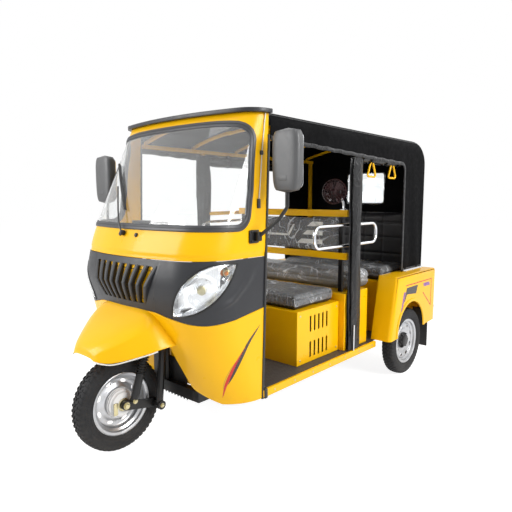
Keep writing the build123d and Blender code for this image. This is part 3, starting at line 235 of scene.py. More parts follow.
class Shape:
    """Vertices and faces of one piece, gathered from simple forms."""

    def __init__(self):
        self.verts = []
        self.faces = []

    def add(self, verts, faces):
        base = len(self.verts)
        self.verts += [Vector(v) for v in verts]
        self.faces += [[base + i for i in face] for face in faces]
        return self

    def grid(self, rows, loop=False, caps=False):
        """Quads between rows of points; loop joins each row's ends, caps close the first and last rows."""
        n = len(rows[0])
        last = (len(rows) - 1) * n
        faces = []
        for r in range(len(rows) - 1):
            for c in range(n if loop else n - 1):
                d = (c + 1) % n
                faces.append([r * n + c, r * n + d, r * n + n + d, r * n + n + c])
        if caps:
            faces += [list(range(n))[::-1], [last + i for i in range(n)]]
        return self.add([p for row in rows for p in row], faces)

    def lathe(self, profile, centre, axis, steps=48, caps=True, ring=False):
        """Profile of (along, radius) pairs turned about an axis; a ring's profile closes on itself."""
        w = Vector(axis).normalized()
        u = w.orthogonal().normalized()
        v = w.cross(u)
        rows = []
        for along, r in (*profile, profile[0]) if ring else profile:
            rows.append([centre + w * along + (u * math.cos(a) + v * math.sin(a)) * r for a in turns(steps)])
        return self.grid(rows, loop=True, caps=caps and not ring)

    def sweep(self, path, section, up=None, closed=False):
        """Section of (side, rise) pairs carried along a path; up is the rise, one for all or one a point."""
        rows = []
        n = len(path)
        up = [up] * n if isinstance(up, Vector) else up
        rise = None
        for i, p in enumerate(path):
            ahead = path[(i + 1) % n] if closed or i + 1 < n else p
            behind = path[i - 1] if closed or i else p
            along = (ahead - behind).normalized()
            rise = (up[i] if up else rise) or along.orthogonal()
            side = along.cross(rise).normalized()
            rise = side.cross(along)
            rows.append([p + side * a + rise * b for a, b in section])
        return self.grid(rows + rows[:1] if closed else rows, loop=True, caps=not closed)

    def tube(self, path, radius, steps=12, closed=False):
        ring = [(radius * math.cos(a), radius * math.sin(a)) for a in turns(steps)]
        return self.sweep(path, ring, closed=closed)

    def box(self, low, high, radius):
        """Box with rounded edges between two corners."""
        form = bmesh.new()
        bmesh.ops.create_cube(form, size=1)
        low, high = Vector(low), Vector(high)
        for v in form.verts:
            v.co = Vector([lerp(a, b, c + 0.5) for a, b, c in zip(low, high, v.co)])
        bmesh.ops.bevel(form, geom=form.edges[:], offset=radius, segments=3, profile=0.5, affect="EDGES")
        form.verts.index_update()
        self.add([v.co for v in form.verts], [[v.index for v in f.verts] for f in form.faces])
        form.free()
        return self

    def block(self, middle, half, radius):
        """Box with rounded edges from its middle and half sizes."""
        return self.box(middle - Vector(half), middle + Vector(half), radius)

    def bolt(self, place, axis, radius, height):
        """Hexagon head on a washer."""
        washer, thick = radius * 1.35, height * 0.25
        self.lathe([(0, washer), (thick, washer), (thick, radius)], place, axis, 20)
        return self.lathe([(0, radius), (height * 0.85, radius), (height, radius * 0.8)], place, axis, 6)

    def prism(self, outline, origin, across, up, depth):
        """Outline of (across, up) pairs drawn out between two depths along the plane's normal."""
        normal = across.cross(up)
        rows = [[origin + across * p[0] + up * p[1] + normal * d for p in outline] for d in depth]
        return self.grid(rows, loop=True, caps=True)

    def both_sides(self):
        n = len(self.verts)
        self.verts += [Vector((-v.x, v.y, v.z)) for v in self.verts]
        self.faces += [[n + i for i in reversed(face)] for face in self.faces]
        return self

    def mesh(self, name):
        mesh = bpy.data.meshes.new(name)
        mesh.from_pydata(self.verts, [], self.faces)
        form = bmesh.new()
        form.from_mesh(mesh)
        bmesh.ops.remove_doubles(form, verts=form.verts[:], dist=1e-5)
        bmesh.ops.recalc_face_normals(form, faces=form.faces[:])
        form.to_mesh(mesh)
        form.free()
        return mesh

    def bare(self, name="cutter"):
        obj = bpy.data.objects.new(name, self.mesh(name))
        scene.collection.objects.link(obj)
        return obj

    def piece(self, name, material, body="body", slot="", replaces=(), angle=38):
        obj = self.bare(name)
        obj.data.materials.append(material)
        return dress(obj, body, replaces, angle)


def upright(outline, across, depth):
    """Prism of an upright outline with its origin under the front axle."""
    return Shape().prism(outline, at(0, 0, 0), across, Z_AXIS, depth)


def dress(obj, body="body", replaces=(), angle=38):
    """Smooth shading, the body that carries the piece and the nodes that it stands for."""
    shade(obj, angle)
    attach(obj, body)
    if replaces:
        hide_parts(*replaces)
    return obj


def shade(obj, angle=38):
    obj.data.shade_smooth()
    obj.data.set_sharp_from_angle(angle=math.radians(angle))


def apply(obj):
    """Turns the piece's modifiers into its mesh."""
    graph = bpy.context.evaluated_depsgraph_get()
    mesh = bpy.data.meshes.new_from_object(obj.evaluated_get(graph))
    obj.modifiers.clear()
    obj.data = mesh
    return obj


def modify(obj, kind, **settings):
    mod = obj.modifiers.new(kind.lower(), kind)
    for key, value in settings.items():
        setattr(mod, key, value)
    return apply(obj)


def carve(obj, *cutters, operation="DIFFERENCE"):
    for cutter in cutters:
        modify(obj, "BOOLEAN", operation=operation, object=cutter, solver="EXACT")
        bpy.data.objects.remove(cutter)
    return obj


def soften(obj, width, angle=38):
    """Rounds the piece's sharp edges."""
    modify(obj, "BEVEL", width=width, segments=2, limit_method="ANGLE", angle_limit=math.radians(angle))
    shade(obj, angle)


# Materials


class Tree:
    """Node tree of one material, with short calls for its nodes."""

    def __init__(self, name):
        self.material = bpy.data.materials.new(name)
        self.material.use_nodes = True
        self.nodes = self.material.node_tree.nodes
        self.links = self.material.node_tree.links
        self.shader = self.nodes["Principled BSDF"]
        self.place = self.nodes.new("ShaderNodeTexCoord").outputs["Object"]

    def node(self, kind, inputs=None, **settings):
        made = self.nodes.new("ShaderNode" + kind)
        for key, value in settings.items():
            setattr(made, key, value)
        for key, value in (inputs or {}).items():
            self.put(made.inputs[key], value)
        return made

    def put(self, socket, value):
        if isinstance(value, bpy.types.NodeSocket):
            self.links.new(value, socket)
        else:
            socket.default_value = value

    def set(self, **values):
        for key, value in values.items():
            self.put(self.shader.inputs[key.replace("_", " ")], value)

    def texture(self, kind, scale, stretch=(1, 1, 1)):
        """Height from 0 to 1 of a fine pattern in metres."""
        place = self.node("Mapping", {"Vector": self.place, "Scale": stretch}).outputs["Vector"]
        if kind == "noise":
            return self.node("TexNoise", {"Vector": place, "Scale": scale, "Detail": 5.0}).outputs["Fac"]
        if kind == "grain":
            return self.node("TexVoronoi", {"Vector": place, "Scale": scale}).outputs["Distance"]
        if kind == "ridge":
            wave = {"Vector": place, "Scale": scale, "Detail": 1.5, "Distortion": 0.7}
            level = self.math("SUBTRACT", self.node("TexNoise", wave).outputs["Fac"], 0.5)
            return self.band(self.math("ABSOLUTE", level), 0.0, 0.07, (1.0, 0.0))
        waves = [self.node("TexWave", {"Vector": place, "Scale": scale}, bands_direction=way).outputs["Fac"]
                 for way in (("DIAGONAL", "Y") if kind == "weave" else ("X", "X"))]
        return self.math("MULTIPLY", *waves)

    def math(self, operation, *values):
        return self.node("Math", dict(enumerate(values)), operation=operation).outputs[0]

    def mix(self, factor, a, b):
        made = self.node("Mix", data_type="RGBA")
        self.put(made.inputs[0], factor)
        self.put(made.inputs[6], a)
        self.put(made.inputs[7], b)
        return made.outputs[2]

    def band(self, value, low, high, out=(0.0, 1.0)):
        inputs = {"Value": value, "From Min": low, "From Max": high, "To Min": out[0], "To Max": out[1]}
        return self.node("MapRange", inputs).outputs["Result"]

    def bump(self, *layers):
        """Layers of (height, strength, depth in metres)."""
        normal = None
        for height, strength, depth in layers:
            made = self.node("Bump", {"Height": height, "Strength": strength, "Distance": depth})
            if normal:
                self.links.new(normal, made.inputs["Normal"])
            normal = made.outputs["Normal"]
        self.set(Normal=normal)


def colour(r, g, b):
    return (r, g, b, 1.0)


def surface(name, base, shade_to, rough, fine, patch=5.0, dust=None, metal=0.0, **sockets):
    """Finish with blotches between two colours, uneven gloss, fine bump and dust towards the ground."""
    tree = Tree(name)
    blotch = tree.texture("noise", patch)
    paint = tree.mix(tree.band(blotch, 0.3, 0.7), colour(*base), colour(*shade_to))
    if dust:
        height = tree.node("SeparateXYZ", {0: tree.place}).outputs["Z"]
        low = tree.band(height, 0.55, 0.10)
        speck = tree.math("MULTIPLY", low, tree.texture("noise", 28))
        paint = tree.mix(tree.band(speck, 0.25, 1.1), paint, colour(*dust))
    gloss = tree.band(tree.texture("noise", patch * 6), 0.25, 0.75, rough)
    tree.set(Base_Color=paint, Metallic=metal, Roughness=gloss)
    tree.bump(*[(tree.texture(kind, scale), strength, depth) for kind, scale, strength, depth in fine])
    tree.set(**sockets)
    return tree.material


# Fine bumps, as rows of pattern, scale, strength and depth in metres
PRINT = [("noise", 400, 0.05, 0.0003)]
LENS_GRAIN = [("grain", 160, 0.4, 0.002)]
yellow = surface("yellow_paint", (0.92, 0.500, 0.0010), (0.88, 0.465, 0.0008), (0.26, 0.36),
                 [("noise", 420, 0.05, 0.0004)], patch=2.5, dust=(0.70, 0.34, 0.01), Specular_IOR_Level=0.20,
                 Coat_Weight=0.15, Coat_Roughness=0.08)
charcoal = surface("charcoal_plastic", (0.020, 0.021, 0.025), (0.016, 0.017, 0.020), (0.34, 0.46),
                   [("noise", 900, 0.16, 0.0005)], patch=7, Specular_IOR_Level=0.40)
grey_plastic = surface("grey_plastic", (0.085, 0.086, 0.088), (0.070, 0.071, 0.073), (0.36, 0.50),
                       [("grain", 900, 0.22, 0.0004)], patch=9)
black_paint = surface("black_paint", (0.007, 0.007, 0.008), (0.012, 0.012, 0.012), (0.28, 0.46),
                      [("noise", 260, 0.10, 0.0006)], patch=14, dust=(0.030, 0.027, 0.024),
                      Specular_IOR_Level=0.35)
canvas = surface("black_canvas", (0.0016, 0.0016, 0.0019), (0.003, 0.003, 0.0035), (0.62, 0.80),
                 [("weave", 420, 0.25, 0.0006), ("noise", 14, 0.35, 0.006)], patch=5, Specular_IOR_Level=0.05)
curtain_cloth = surface("curtain_cloth", (0.0025, 0.0025, 0.003), (0.006, 0.006, 0.007), (0.24, 0.40),
                        [("weave", 520, 0.15, 0.0004), ("ridge", 9, 0.4, 0.004)], patch=8,
                        Specular_IOR_Level=0.35)
leather = surface("seat_cover", (0.012, 0.012, 0.014), (0.020, 0.020, 0.023), (0.36, 0.52),
                  [("grain", 420, 0.35, 0.0008), ("noise", 30, 0.2, 0.003)], patch=9, Specular_IOR_Level=0.35)
seat_grey = surface("seat_cover_grey", (0.12, 0.125, 0.13), (0.17, 0.175, 0.18), (0.30, 0.45),
                    [("grain", 420, 0.3, 0.0008), ("noise", 26, 0.25, 0.004)], patch=9)
rubber = surface("rubber", (0.016, 0.016, 0.017), (0.026, 0.026, 0.027), (0.48, 0.64),
                 [("noise", 500, 0.2, 0.0006)], patch=12)
seal_rubber = surface("seal_rubber", (0.030, 0.031, 0.036), (0.038, 0.039, 0.045), (0.34, 0.48),
                      [("noise", 420, 0.12, 0.0005)], patch=10)
tyre_rubber = surface("tyre_rubber", (0.009, 0.009, 0.010), (0.016, 0.016, 0.017), (0.62, 0.80),
                      [("noise", 330, 0.3, 0.0008), ("noise", 60, 0.15, 0.001)], patch=16,
                      dust=(0.040, 0.036, 0.032), Specular_IOR_Level=0.35)
chrome = surface("chrome", (0.80, 0.81, 0.83), (0.72, 0.73, 0.75), (0.06, 0.16),
                 [("noise", 180, 0.04, 0.0004)], patch=20, metal=1.0)
reflector = surface("lamp_reflector", (0.92, 0.93, 0.95), (0.84, 0.85, 0.88), (0.10, 0.20),
                    [("bands", 60, 0.25, 0.003)], patch=30, metal=1.0)
steel = surface("silver_steel", (0.56, 0.57, 0.59), (0.48, 0.49, 0.51), (0.26, 0.38),
                [("noise", 240, 0.12, 0.0006)], patch=12, metal=0.85, dust=(0.30, 0.28, 0.25))
zinc = surface("zinc_plate", (0.66, 0.60, 0.36), (0.50, 0.44, 0.26), (0.28, 0.42),
               [("noise", 420, 0.15, 0.0005)], patch=40, metal=1.0)
pale_trim = surface("pale_trim", (0.78, 0.77, 0.72), (0.70, 0.69, 0.64), (0.34, 0.46),
                    [("noise", 300, 0.1, 0.0004)])
red_lens = surface("red_lens", (0.55, 0.012, 0.010), (0.42, 0.008, 0.008), (0.08, 0.16), LENS_GRAIN,
                   patch=20, Coat_Weight=0.6)
amber_lens = surface("amber_lens", (0.80, 0.26, 0.02), (0.70, 0.20, 0.015), (0.08, 0.16), LENS_GRAIN,
                     patch=20, Coat_Weight=0.6)
fan_red = surface("fan_red", (0.028, 0.002, 0.003), (0.018, 0.001, 0.002), (0.24, 0.36),
                  [("noise", 260, 0.1, 0.0005)])
stripe_red = surface("stripe_red", (0.62, 0.025, 0.012), (0.54, 0.018, 0.010), (0.22, 0.32), PRINT)
stripe_black = surface("stripe_black", (0.020, 0.018, 0.018), (0.030, 0.026, 0.024), (0.24, 0.34), PRINT)
stripe_gold = surface("stripe_gold", (0.62, 0.36, 0.03), (0.55, 0.31, 0.03), (0.28, 0.38), PRINT)
stripe_violet = surface("stripe_violet", (0.20, 0.075, 0.28), (0.26, 0.10, 0.32), (0.24, 0.34), PRINT)
mat_rubber = surface("floor_mat", (0.040, 0.037, 0.036), (0.055, 0.050, 0.047), (0.50, 0.66),
                     [("bands", 22, 0.5, 0.002), ("noise", 300, 0.2, 0.0006)], patch=6,
                     dust=(0.10, 0.09, 0.08))


def clear(name, tint, rough, scale, strength, depth, through=1.0):
    """Glass or clear film with a faint waviness."""
    tree = Tree(name)
    tree.set(Base_Color=colour(*tint), IOR=1.45, Transmission_Weight=through,
             Roughness=tree.band(tree.texture("noise", 9), 0.3, 0.7, rough))
    tree.bump((tree.texture("noise", scale), strength, depth))
    return tree.material


def film_with_painted_sheen():
    """Clear plastic wrap with sharp creases in its bump and a gloss of its own; its near-white colour is painted
    sheen, faint all over and strongest in streaks along the creases.
    """
    tree = Tree("plastic_wrap_painted_sheen")
    long = tree.texture("ridge", 4.6, (0.5, 2.2, 1.0))
    short = tree.texture("ridge", 11.0, (1.4, 0.6, 0.9))
    crease = tree.math("MAXIMUM", long, short)
    painted_sheen_patches = tree.band(tree.texture("noise", 4.5), 0.40, 0.60)
    # share masks the painted highlight streaks: through Alpha the near-white colour shows at 16% everywhere and up
    # to 80% on the creases in the patches
    share = tree.math("MULTIPLY", tree.band(crease, 0.70, 1.0), painted_sheen_patches)
    tree.set(Base_Color=colour(0.88, 0.90, 0.92), IOR=1.45, Specular_IOR_Level=0.6,
             Roughness=tree.band(tree.texture("noise", 18), 0.3, 0.7, (0.08, 0.22)),
             Alpha=tree.band(share, 0.0, 1.0, (0.16, 0.80)))
    tree.bump((crease, 0.6, 0.006), (tree.texture("noise", 34), 0.3, 0.004))
    return tree.material


def partition_paint():
    """Yellow on the two rails, and black on the posts between and under them."""
    tree = Tree("partition_paint")
    height = tree.node("SeparateXYZ", {0: tree.place}).outputs["Z"]
    panel_low, panel_high = (corner.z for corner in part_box("partition_panel"))
    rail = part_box("partition_frame")[1].z - panel_high
    over = [tree.math("GREATER_THAN", height, level) for level in (panel_low - rail, panel_low, panel_high)]
    rails = tree.math("ADD", tree.math("SUBTRACT", over[0], over[1]), over[2])
    tree.set(Base_Color=tree.mix(rails, colour(0.007, 0.007, 0.008), colour(0.92, 0.50, 0.001)),
             Specular_IOR_Level=0.2, Roughness=tree.band(tree.texture("noise", 15), 0.25, 0.75, (0.26, 0.36)))
    tree.bump((tree.texture("noise", 420), 0.05, 0.0004))
    return tree.material


glass = clear("clear_glass", (0.98, 0.99, 0.99), (0.0, 0.03), 3, 0.02, 0.002, through=0.94)
lens_glass = clear("lens_glass", (0.97, 0.98, 0.98), (0.0, 0.04), 40, 0.06, 0.001)
vinyl = clear("clear_vinyl", (0.90, 0.93, 0.94), (0.03, 0.12), 11, 0.25, 0.006)
wrap = film_with_painted_sheen()

SLOT_FINISH = {"yellow_paint": yellow, "black_paint": black_paint, "black_plastic": charcoal,
               "black_canvas": canvas, "seat_cover": leather, "clear_glass": glass, "rubber": rubber,
               "tyre": tyre_rubber, "chrome": chrome, "silver_steel": steel, "red_lens": red_lens}
EDGE_ROUND = {"driver_seat_box": 0.014, "mid_bench_box": 0.012, "rear_seat_base": 0.010, "side_sills": 0.006,
              "tail_panel": 0.006, "battery_pack": 0.006}
FINE_EDGE = 0.0022


def finish_cad():
    """Gives every node its finish and a small radius on its edges."""
    for row in frame["record"]["subparts"]:
        node = nodes[row["node"]]
        node.data.materials.clear()
        node.data.materials.append(SLOT_FINISH[row["material_slot"]])
        weld = node.modifiers.new("weld", "WELD")
        weld.merge_threshold = 2e-5
        edge = node.modifiers.new("edge", "BEVEL")
        edge.width = EDGE_ROUND.get(row["node"], FINE_EDGE)
        edge.segments = 2
        edge.limit_method = "ANGLE"
        edge.angle_limit = math.radians(32)
        edge.harden_normals = True
    nodes["floor_pan"].data.materials[0] = mat_rubber
    nodes["partition_frame"].data.materials[0] = partition_paint()


# Cab


def cab_plan(z):
    """Corner radius and corner y, then crown radius and crown centre y of the cab at a height."""
    corner_y, r = smooth(CAB_SECTIONS, z)
    crown = r + (CAB_HALF - r) / math.cos(CORNER_TURN)
    return r, corner_y, crown, corner_y + (crown - r) * math.sin(CORNER_TURN)


def door_edge(z):
    return DOOR_EDGE + (z - CAB_LOW) * DOOR_LEAN


def cab_point(u, z, grow=0.0):
    """Place on the cab skin: u is 0 at the nose, 1 and 2 at the corner's ends and 3 at the door edge."""
    r, corner_y, crown, centre_y = cab_plan(z)
    a = abs(u)
    if a <= 1:
        angle = lerp(math.pi / 2, CORNER_TURN, a)
        x = (crown + grow) * math.cos(angle)
        y = centre_y - (crown + grow) * math.sin(angle)
    elif a <= 2:
        angle = CORNER_TURN * (2 - a)
        x = CAB_HALF - r + (r + grow) * math.cos(angle)
        y = corner_y - (r + grow) * math.sin(angle)
    else:
        x = CAB_HALF + grow
        y = lerp(corner_y, door_edge(z), a - 2)
    return at(math.copysign(x, u), y, z)


def cab_u(y, z):
    """Place round the cab of a point at y on its left half."""
    r, corner_y, crown, centre_y = cab_plan(z)
    if y >= corner_y:
        return 2 + (y - corner_y) / (door_edge(z) - corner_y)
    if y >= corner_y - r * math.sin(CORNER_TURN):
        return 2 - math.asin((corner_y - y) / r) / CORNER_TURN
    angle = math.asin(min((centre_y - y) / crown, 1.0))
    return (math.pi / 2 - angle) / (math.pi / 2 - CORNER_TURN)


def front_of(x, z):
    """How far back the cab skin's front lies at x."""
    r, corner_y, crown, centre_y = cab_plan(z)
    if abs(x) <= crown * math.cos(CORNER_TURN):
        return centre_y - math.sqrt(crown ** 2 - x ** 2)
    return corner_y - math.sqrt(max(r ** 2 - (abs(x) - CAB_HALF + r) ** 2, 0))


def cab_normal(u, z):
    step = 0.01
    du = cab_point(u + step, z) - cab_point(u - step, z)
    dz = cab_point(u, z + step) - cab_point(u, z - step)
    return du.cross(dz).normalized()


# Places round the cab: from, to and count of each run
CAB_RUNS = ((-3, -2, 12), (-2, -1, 22), (-1, 1, 48), (1, 2, 22), (2, 3, 12))
CAB_LINE = [lerp(start, end, i / count) for start, end, count in CAB_RUNS for i in range(count)] + [3]


def cab_panel(low, high, rows, thick=WALL, swell=None):
    """Closed panel of the cab skin between two heights, each a number or given round the cab."""
    def level(bound, u):
        return bound(u) if callable(bound) else bound

    sides = []
    for depth in (0.0, -thick):
        side = []
        for t in spread(0, 1, rows + 1):
            line = []
            for u in CAB_LINE:
                z = lerp(level(low, u), level(high, u), t)
                proud = swell(u, z) if swell and not depth else 0.0
                line.append(cab_point(u, z, depth + proud))
            side.append(line)
        sides.append(side)
    shape = Shape().grid(sides[0]).grid(sides[1])
    for i in (0, -1):
        shape.grid([sides[0][i], sides[1][i]])
        shape.grid([[row[i] for row in sides[0]], [row[i] for row in sides[1]]])
    return shape


def fascia_edge(u):
    return smooth(FASCIA_EDGE, abs(u))[0]


def skin_strip(name, line, material, lift=0.0007):
    """Flat strip on the cab skin from rows of (u, height, half width)."""
    rows = []
    for i, (u, z, half) in enumerate(line):
        behind, ahead = line[max(i - 1, 0)], line[min(i + 1, len(line) - 1)]
        along = cab_point(*ahead[:2]) - cab_point(*behind[:2])
        side = along.cross(cab_normal(u, z)).normalized()
        middle = cab_point(u, z, lift)
        rows.append([middle + side * half * k for k in (-1, 0, 1)])
    return Shape().grid(rows).piece(name, material, slot="black_plastic")


def lamp_place(p, q, grow=0.0):
    """Place on the cab skin in front of a point of the headlamp's plane."""
    low, high = 0.0, 1.0
    for _ in range(40):
        middle = (low + high) / 2
        flat = LAMP_ALONG * p + LAMP_FACING * middle
        inside = flat.x < CAB_HALF and flat.y > front_of(flat.x, q)
        low, high = (middle, high) if inside else (low, middle)
    flat = LAMP_ALONG * p + LAMP_FACING * (low + grow)
    return at(flat.x, flat.y, q)


lamp_upper = arc(LAMP_IN, LAMP_OVER, LAMP_OUT, LAMP_STEPS)
lamp_lower = arc(LAMP_IN, LAMP_UNDER, LAMP_OUT, LAMP_STEPS)
lamp_outline = lamp_upper + lamp_lower[-2:0:-1]
lamp_middle = sum(lamp_outline, Vector((0, 0))) / len(lamp_outline)


def lamp_cutter():
    grown = [p + (p - lamp_middle).normalized() * 0.004 for p in lamp_outline]
    return upright(grown, LAMP_ALONG, (0.05, 0.75)).both_sides().bare()


def crease(u, z):
    """Curved ridge on the fascia behind each headlamp, fading at its ends."""
    low, high = CREASE_LINE[0][0] - 0.005, CREASE_LINE[-1][0] + 0.010
    fade = max(0.0, min((z - low) / 0.05, (high - z) / 0.05, 1.0))
    gap = (abs(u) - smooth(CREASE_LINE, z)[0]) * 0.25
    return fade * CREASE_RISE * math.exp(-(gap / CREASE_WIDTHS[gap > 0]) ** 2)


def lip(_, z):
    """Step above the cowl's lower edge."""
    return -0.004 * max(0.0, min((FASCIA_TOP + 0.026 - z) / 0.006, 1.0))


def screen_ring(inset, steps):
    """Windscreen opening seen from the side, drawn in by an inset."""
    ring = [(y - (inset if y > 0 else 0), z + (inset if z < SCREEN_MIDDLE else -inset)) for y, z in SCREEN]
    return rounded(ring, SCREEN_CORNER - inset, (1, 2), steps)


def cab():
    gap = SEAM / 2
    apron = cab_panel(CAB_LOW, lambda u: fascia_edge(u) - gap, 56).piece(
        "apron_skin", yellow, slot="yellow_paint", replaces=["front_apron"])
    mouth = rounded([*MOUTH, *[(-x, z) for x, z in reversed(MOUTH)]], MOUTH_CORNER, (1, 6))
    carve(apron, upright(mouth, X_AXIS, (-0.5, 0.3)).bare())
    soften(apron, 0.0025)

    fascia = cab_panel(lambda u: fascia_edge(u) + gap, FASCIA_TOP - gap, 54, swell=crease).piece(
        "fascia_skin", charcoal, slot="black_plastic", replaces=["front_fascia"])
    (foot, top), (foot_z, top_z) = GRILLE_HALF, GRILLE_Z
    grille_hole = rounded([(-foot, foot_z), (foot, foot_z), (top, top_z), (-top, top_z)], 0.02, range(4), 5)
    carve(fascia, lamp_cutter(), upright(grille_hole, X_AXIS, (-0.3, 0.3)).bare())
    soften(fascia, 0.0028)

    cowl = cab_panel(FASCIA_TOP + gap, CAB_TOP, 100, swell=lip).piece(
        "cowl_skin", yellow, slot="yellow_paint", replaces=["front_cowl"])
    carve(cowl, upright(screen_ring(0, 10), Y_AXIS, (-0.7, 0.7)).bare())
    soften(cowl, 0.0025)

    pane = cab_panel(SCREEN[0][1] - 0.01, SCREEN[2][1] + 0.01, 40, thick=GLASS).piece(
        "windscreen_pane", glass, slot="clear_glass", replaces=["windscreen_glass"])
    carve(pane, upright(screen_ring(0.012, 10), Y_AXIS, (-0.7, 0.7)).bare(), operation="INTERSECT")
    shade(pane, 60)


def screen_path():
    """Places round the middle of the windscreen seal, as (u, height) pairs."""
    steps = 12
    bend = screen_ring(SEAL_WIDTH / 2 - 0.004, steps)[1:-1]
    left = [(cab_u(p.x, p.y), p.y) for p in bend]
    low = [(u, left[0][1]) for u in spread(0, left[0][0], 46)[:-1]]
    top = [(u, left[-1][1]) for u in spread(left[-1][0], 0, 46)[1:]]
    ends = list(zip(left[steps - 1], left[steps]))
    pillar = [tuple(lerp(*pair, t) for pair in ends) for t in spread(0, 1, 20)[1:-1]]
    half = low + left[:steps] + pillar + left[steps:] + top
    return half + [(-u, z) for u, z in half[-2:0:-1]]


def seal():
    ring = screen_path()
    path = [cab_point(u, z) for u, z in ring]
    out = [cab_normal(u, z) for u, z in ring]
    half = SEAL_WIDTH / 2
    section = rounded(rectangle((-half, -0.011), (half, SEAL_RISE)), 0.0055, (2, 3), 4)
    Shape().sweep(path, section, out, closed=True).piece(
        "windscreen_rubber", seal_rubber, slot="rubber", replaces=["windscreen_seal"], angle=50)
    bead = trapeze(0.003, 0.0, 0.002, SEAL_RISE + 0.0016)
    Shape().sweep(path, bead, out, closed=True).piece("windscreen_bead", rubber, slot="rubber")


def grille():
    """Kinked upright bars, and short ties between them."""
    bars, ties = Shape(), Shape()
    gaps = GRILLE_BARS - 1
    for i in range(GRILLE_BARS):
        rows = []
        for t in spread(0, 1, 9):
            z = lerp(GRILLE_Z[0] - GRILLE_LAP, GRILLE_Z[1] + GRILLE_LAP, t)
            x = lerp(*GRILLE_HALF, t) * (2 * i / gaps - 1)
            half = lerp(*GRILLE_BAR_HALF, t)
            y = front_of(x, z) - GRILLE_KINK * (1 - abs(2 * t - 1))
            rows.append([at(x + half * share, y + depth, z) for share, depth in GRILLE_SECTION])
        bars.grid(rows, loop=True, caps=True)
    bars.piece("grille_bars", charcoal, slot="black_plastic", angle=20)
    for i in range(gaps):
        for t in (0.12, 0.5, 0.88):
            z = lerp(*GRILLE_Z, t)
            x = lerp(*GRILLE_HALF, t) * ((2 * i + 1) / gaps - 1)
            ties.block(at(x, front_of(x, z) + 0.015, z), (0.016, 0.003, 0.002), 0.001)
    ties.piece("grille_ties", charcoal, slot="black_plastic")


def lamp_patch(depth):
    """Rows of points over the headlamp, as deep as given by the shares along and across it and the place."""
    trim, last = 0.004, LAMP_STEPS - 1
    rows = []
    for i in range(LAMP_STEPS):
        s = min(max(i / last, trim), 1 - trim)
        j = min(int(s * last), last - 1)
        low, top = (line[j].lerp(line[j + 1], s * last - j) for line in (lamp_lower, lamp_upper))
        flats = [(t, low.lerp(top, t)) for t in spread(0, 1, LAMP_ROWS)]
        rows.append([lamp_place(*flat, depth(s, t, flat)) for t, flat in flats])
    return Shape().grid(rows).both_sides()


def lamp_dome(s, t, _):
    return 0.012 * (4 * t * (1 - t)) ** 0.6 * (4 * s * (1 - s)) ** 0.6


def lamp_bowl(s, t, flat):
    edge = min((4 * t * (1 - t)) ** 0.5, (4 * s * (1 - s)) ** 0.5, 1.0)
    depth = 0.004 + LAMP_DEPTH * min(edge * 1.6, 1.0)
    for middle, radius, deep in LAMP_DISHES:
        depth += deep * max(0.0, 1 - ((flat - middle).length / radius) ** 2)
    return -depth


def headlamps():
    lens = lamp_patch(lamp_dome).piece("headlamp_glass", lens_glass, slot="clear_glass",
                                       replaces=["headlamp_lenses"], angle=60)
    modify(lens, "SOLIDIFY", thickness=0.003, offset=-1)
    shade(lens, 60)
    lamp_patch(lamp_bowl).piece("headlamp_reflector", reflector, slot="chrome", replaces=["headlamp_bowls"],
                                angle=60)
    lamp_patch(lambda s, t, flat: lamp_bowl(s, t, flat) - 0.006).piece(
        "headlamp_backs", black_paint, slot="black_plastic", angle=60)
    sockets = Shape()
    bulbs = (("headlamp_bulb", lens_glass, 0.013, 0.082), ("indicator_bulb", amber_lens, 0.011, 0.06))
    for (name, material, r, deep), (spot, _, _) in zip(bulbs, LAMP_DISHES):
        foot = lamp_place(*spot, -deep)
        profile = [(0, r * 0.8), (0.008, r * 0.8), (0.010, r), (0.024, r), (0.031, r * 0.7), (0.034, r * 0.2)]
        Shape().lathe(profile, foot, LAMP_FACING, 24).both_sides().piece(name, material, slot="clear_glass")
        sockets.lathe([(-0.006, r * 1.5), (0.006, r * 1.5), (0.009, r * 1.1)], foot, LAMP_FACING, 24)
    sockets.both_sides().piece("bulb_sockets", zinc, slot="chrome")
    ring = [lamp_place(*p) for p in lamp_outline]
    section = [(-0.006, -0.012), (0.005, -0.012), (0.005, 0.002), (0.0, 0.004), (-0.006, 0.001)]
    Shape().sweep(ring, section, LAMP_FACING, closed=True).both_sides().piece(
        "headlamp_bezel", black_paint, slot="black_plastic")


# Slash stripes: name, finish, half width, shift rearward, and the shares of the spine at both ends
SLASHES = (
    ("red", stripe_red, 0.0085, -0.009, 0.0, 0.78),
    ("black", stripe_black, 0.0110, 0.007, 0.22, 1.0),
    ("gold", stripe_gold, 0.0018, -0.022, 0.08, 0.68),
)
# Spine of the slash: height, y
SLASH_SPINE = ((0.300, 0.318), (0.40, 0.322), (0.50, 0.350), (0.58, 0.408), (0.665, 0.508))


def decals():
    """Slash stripe on each apron side: red ahead, black behind, with a thin gold line."""
    for side, sign in SIDES:
        for name, material, wide, shift, low, high in SLASHES:
            line = []
            for t in spread(low, high, 26):
                z = lerp(SLASH_SPINE[0][0], SLASH_SPINE[-1][0], t)
                swell = math.sin(math.pi * (t - low) / (high - low)) ** 0.8
                y = smooth(SLASH_SPINE, z)[0] + shift * swell
                line.append((sign * cab_u(y, z), z, max(wide * swell, 0.0004)))
            skin_strip(f"stripe_{name}_{side}", line, material)


# Beak mudguard: distance ahead, top half and height, shoulder half and height, lower half and height
BEAK = (
    (0.150, 0.204, 0.775, 0.258, 0.715, 0.332, 0.596),
    (0.060, 0.204, 0.766, 0.256, 0.705, 0.326, 0.594),
    (0.030, 0.206, 0.738, 0.252, 0.690, 0.316, 0.588),
    (0.000, 0.206, 0.706, 0.246, 0.674, 0.304, 0.580),
    (-0.060, 0.168, 0.668, 0.206, 0.638, 0.248, 0.556),
    (-0.130, 0.116, 0.622, 0.150, 0.598, 0.180, 0.532),
    (-0.168, 0.086, 0.594, 0.112, 0.578, 0.134, 0.534),
    (-0.184, 0.060, 0.574, 0.086, 0.563, 0.104, 0.540),
)


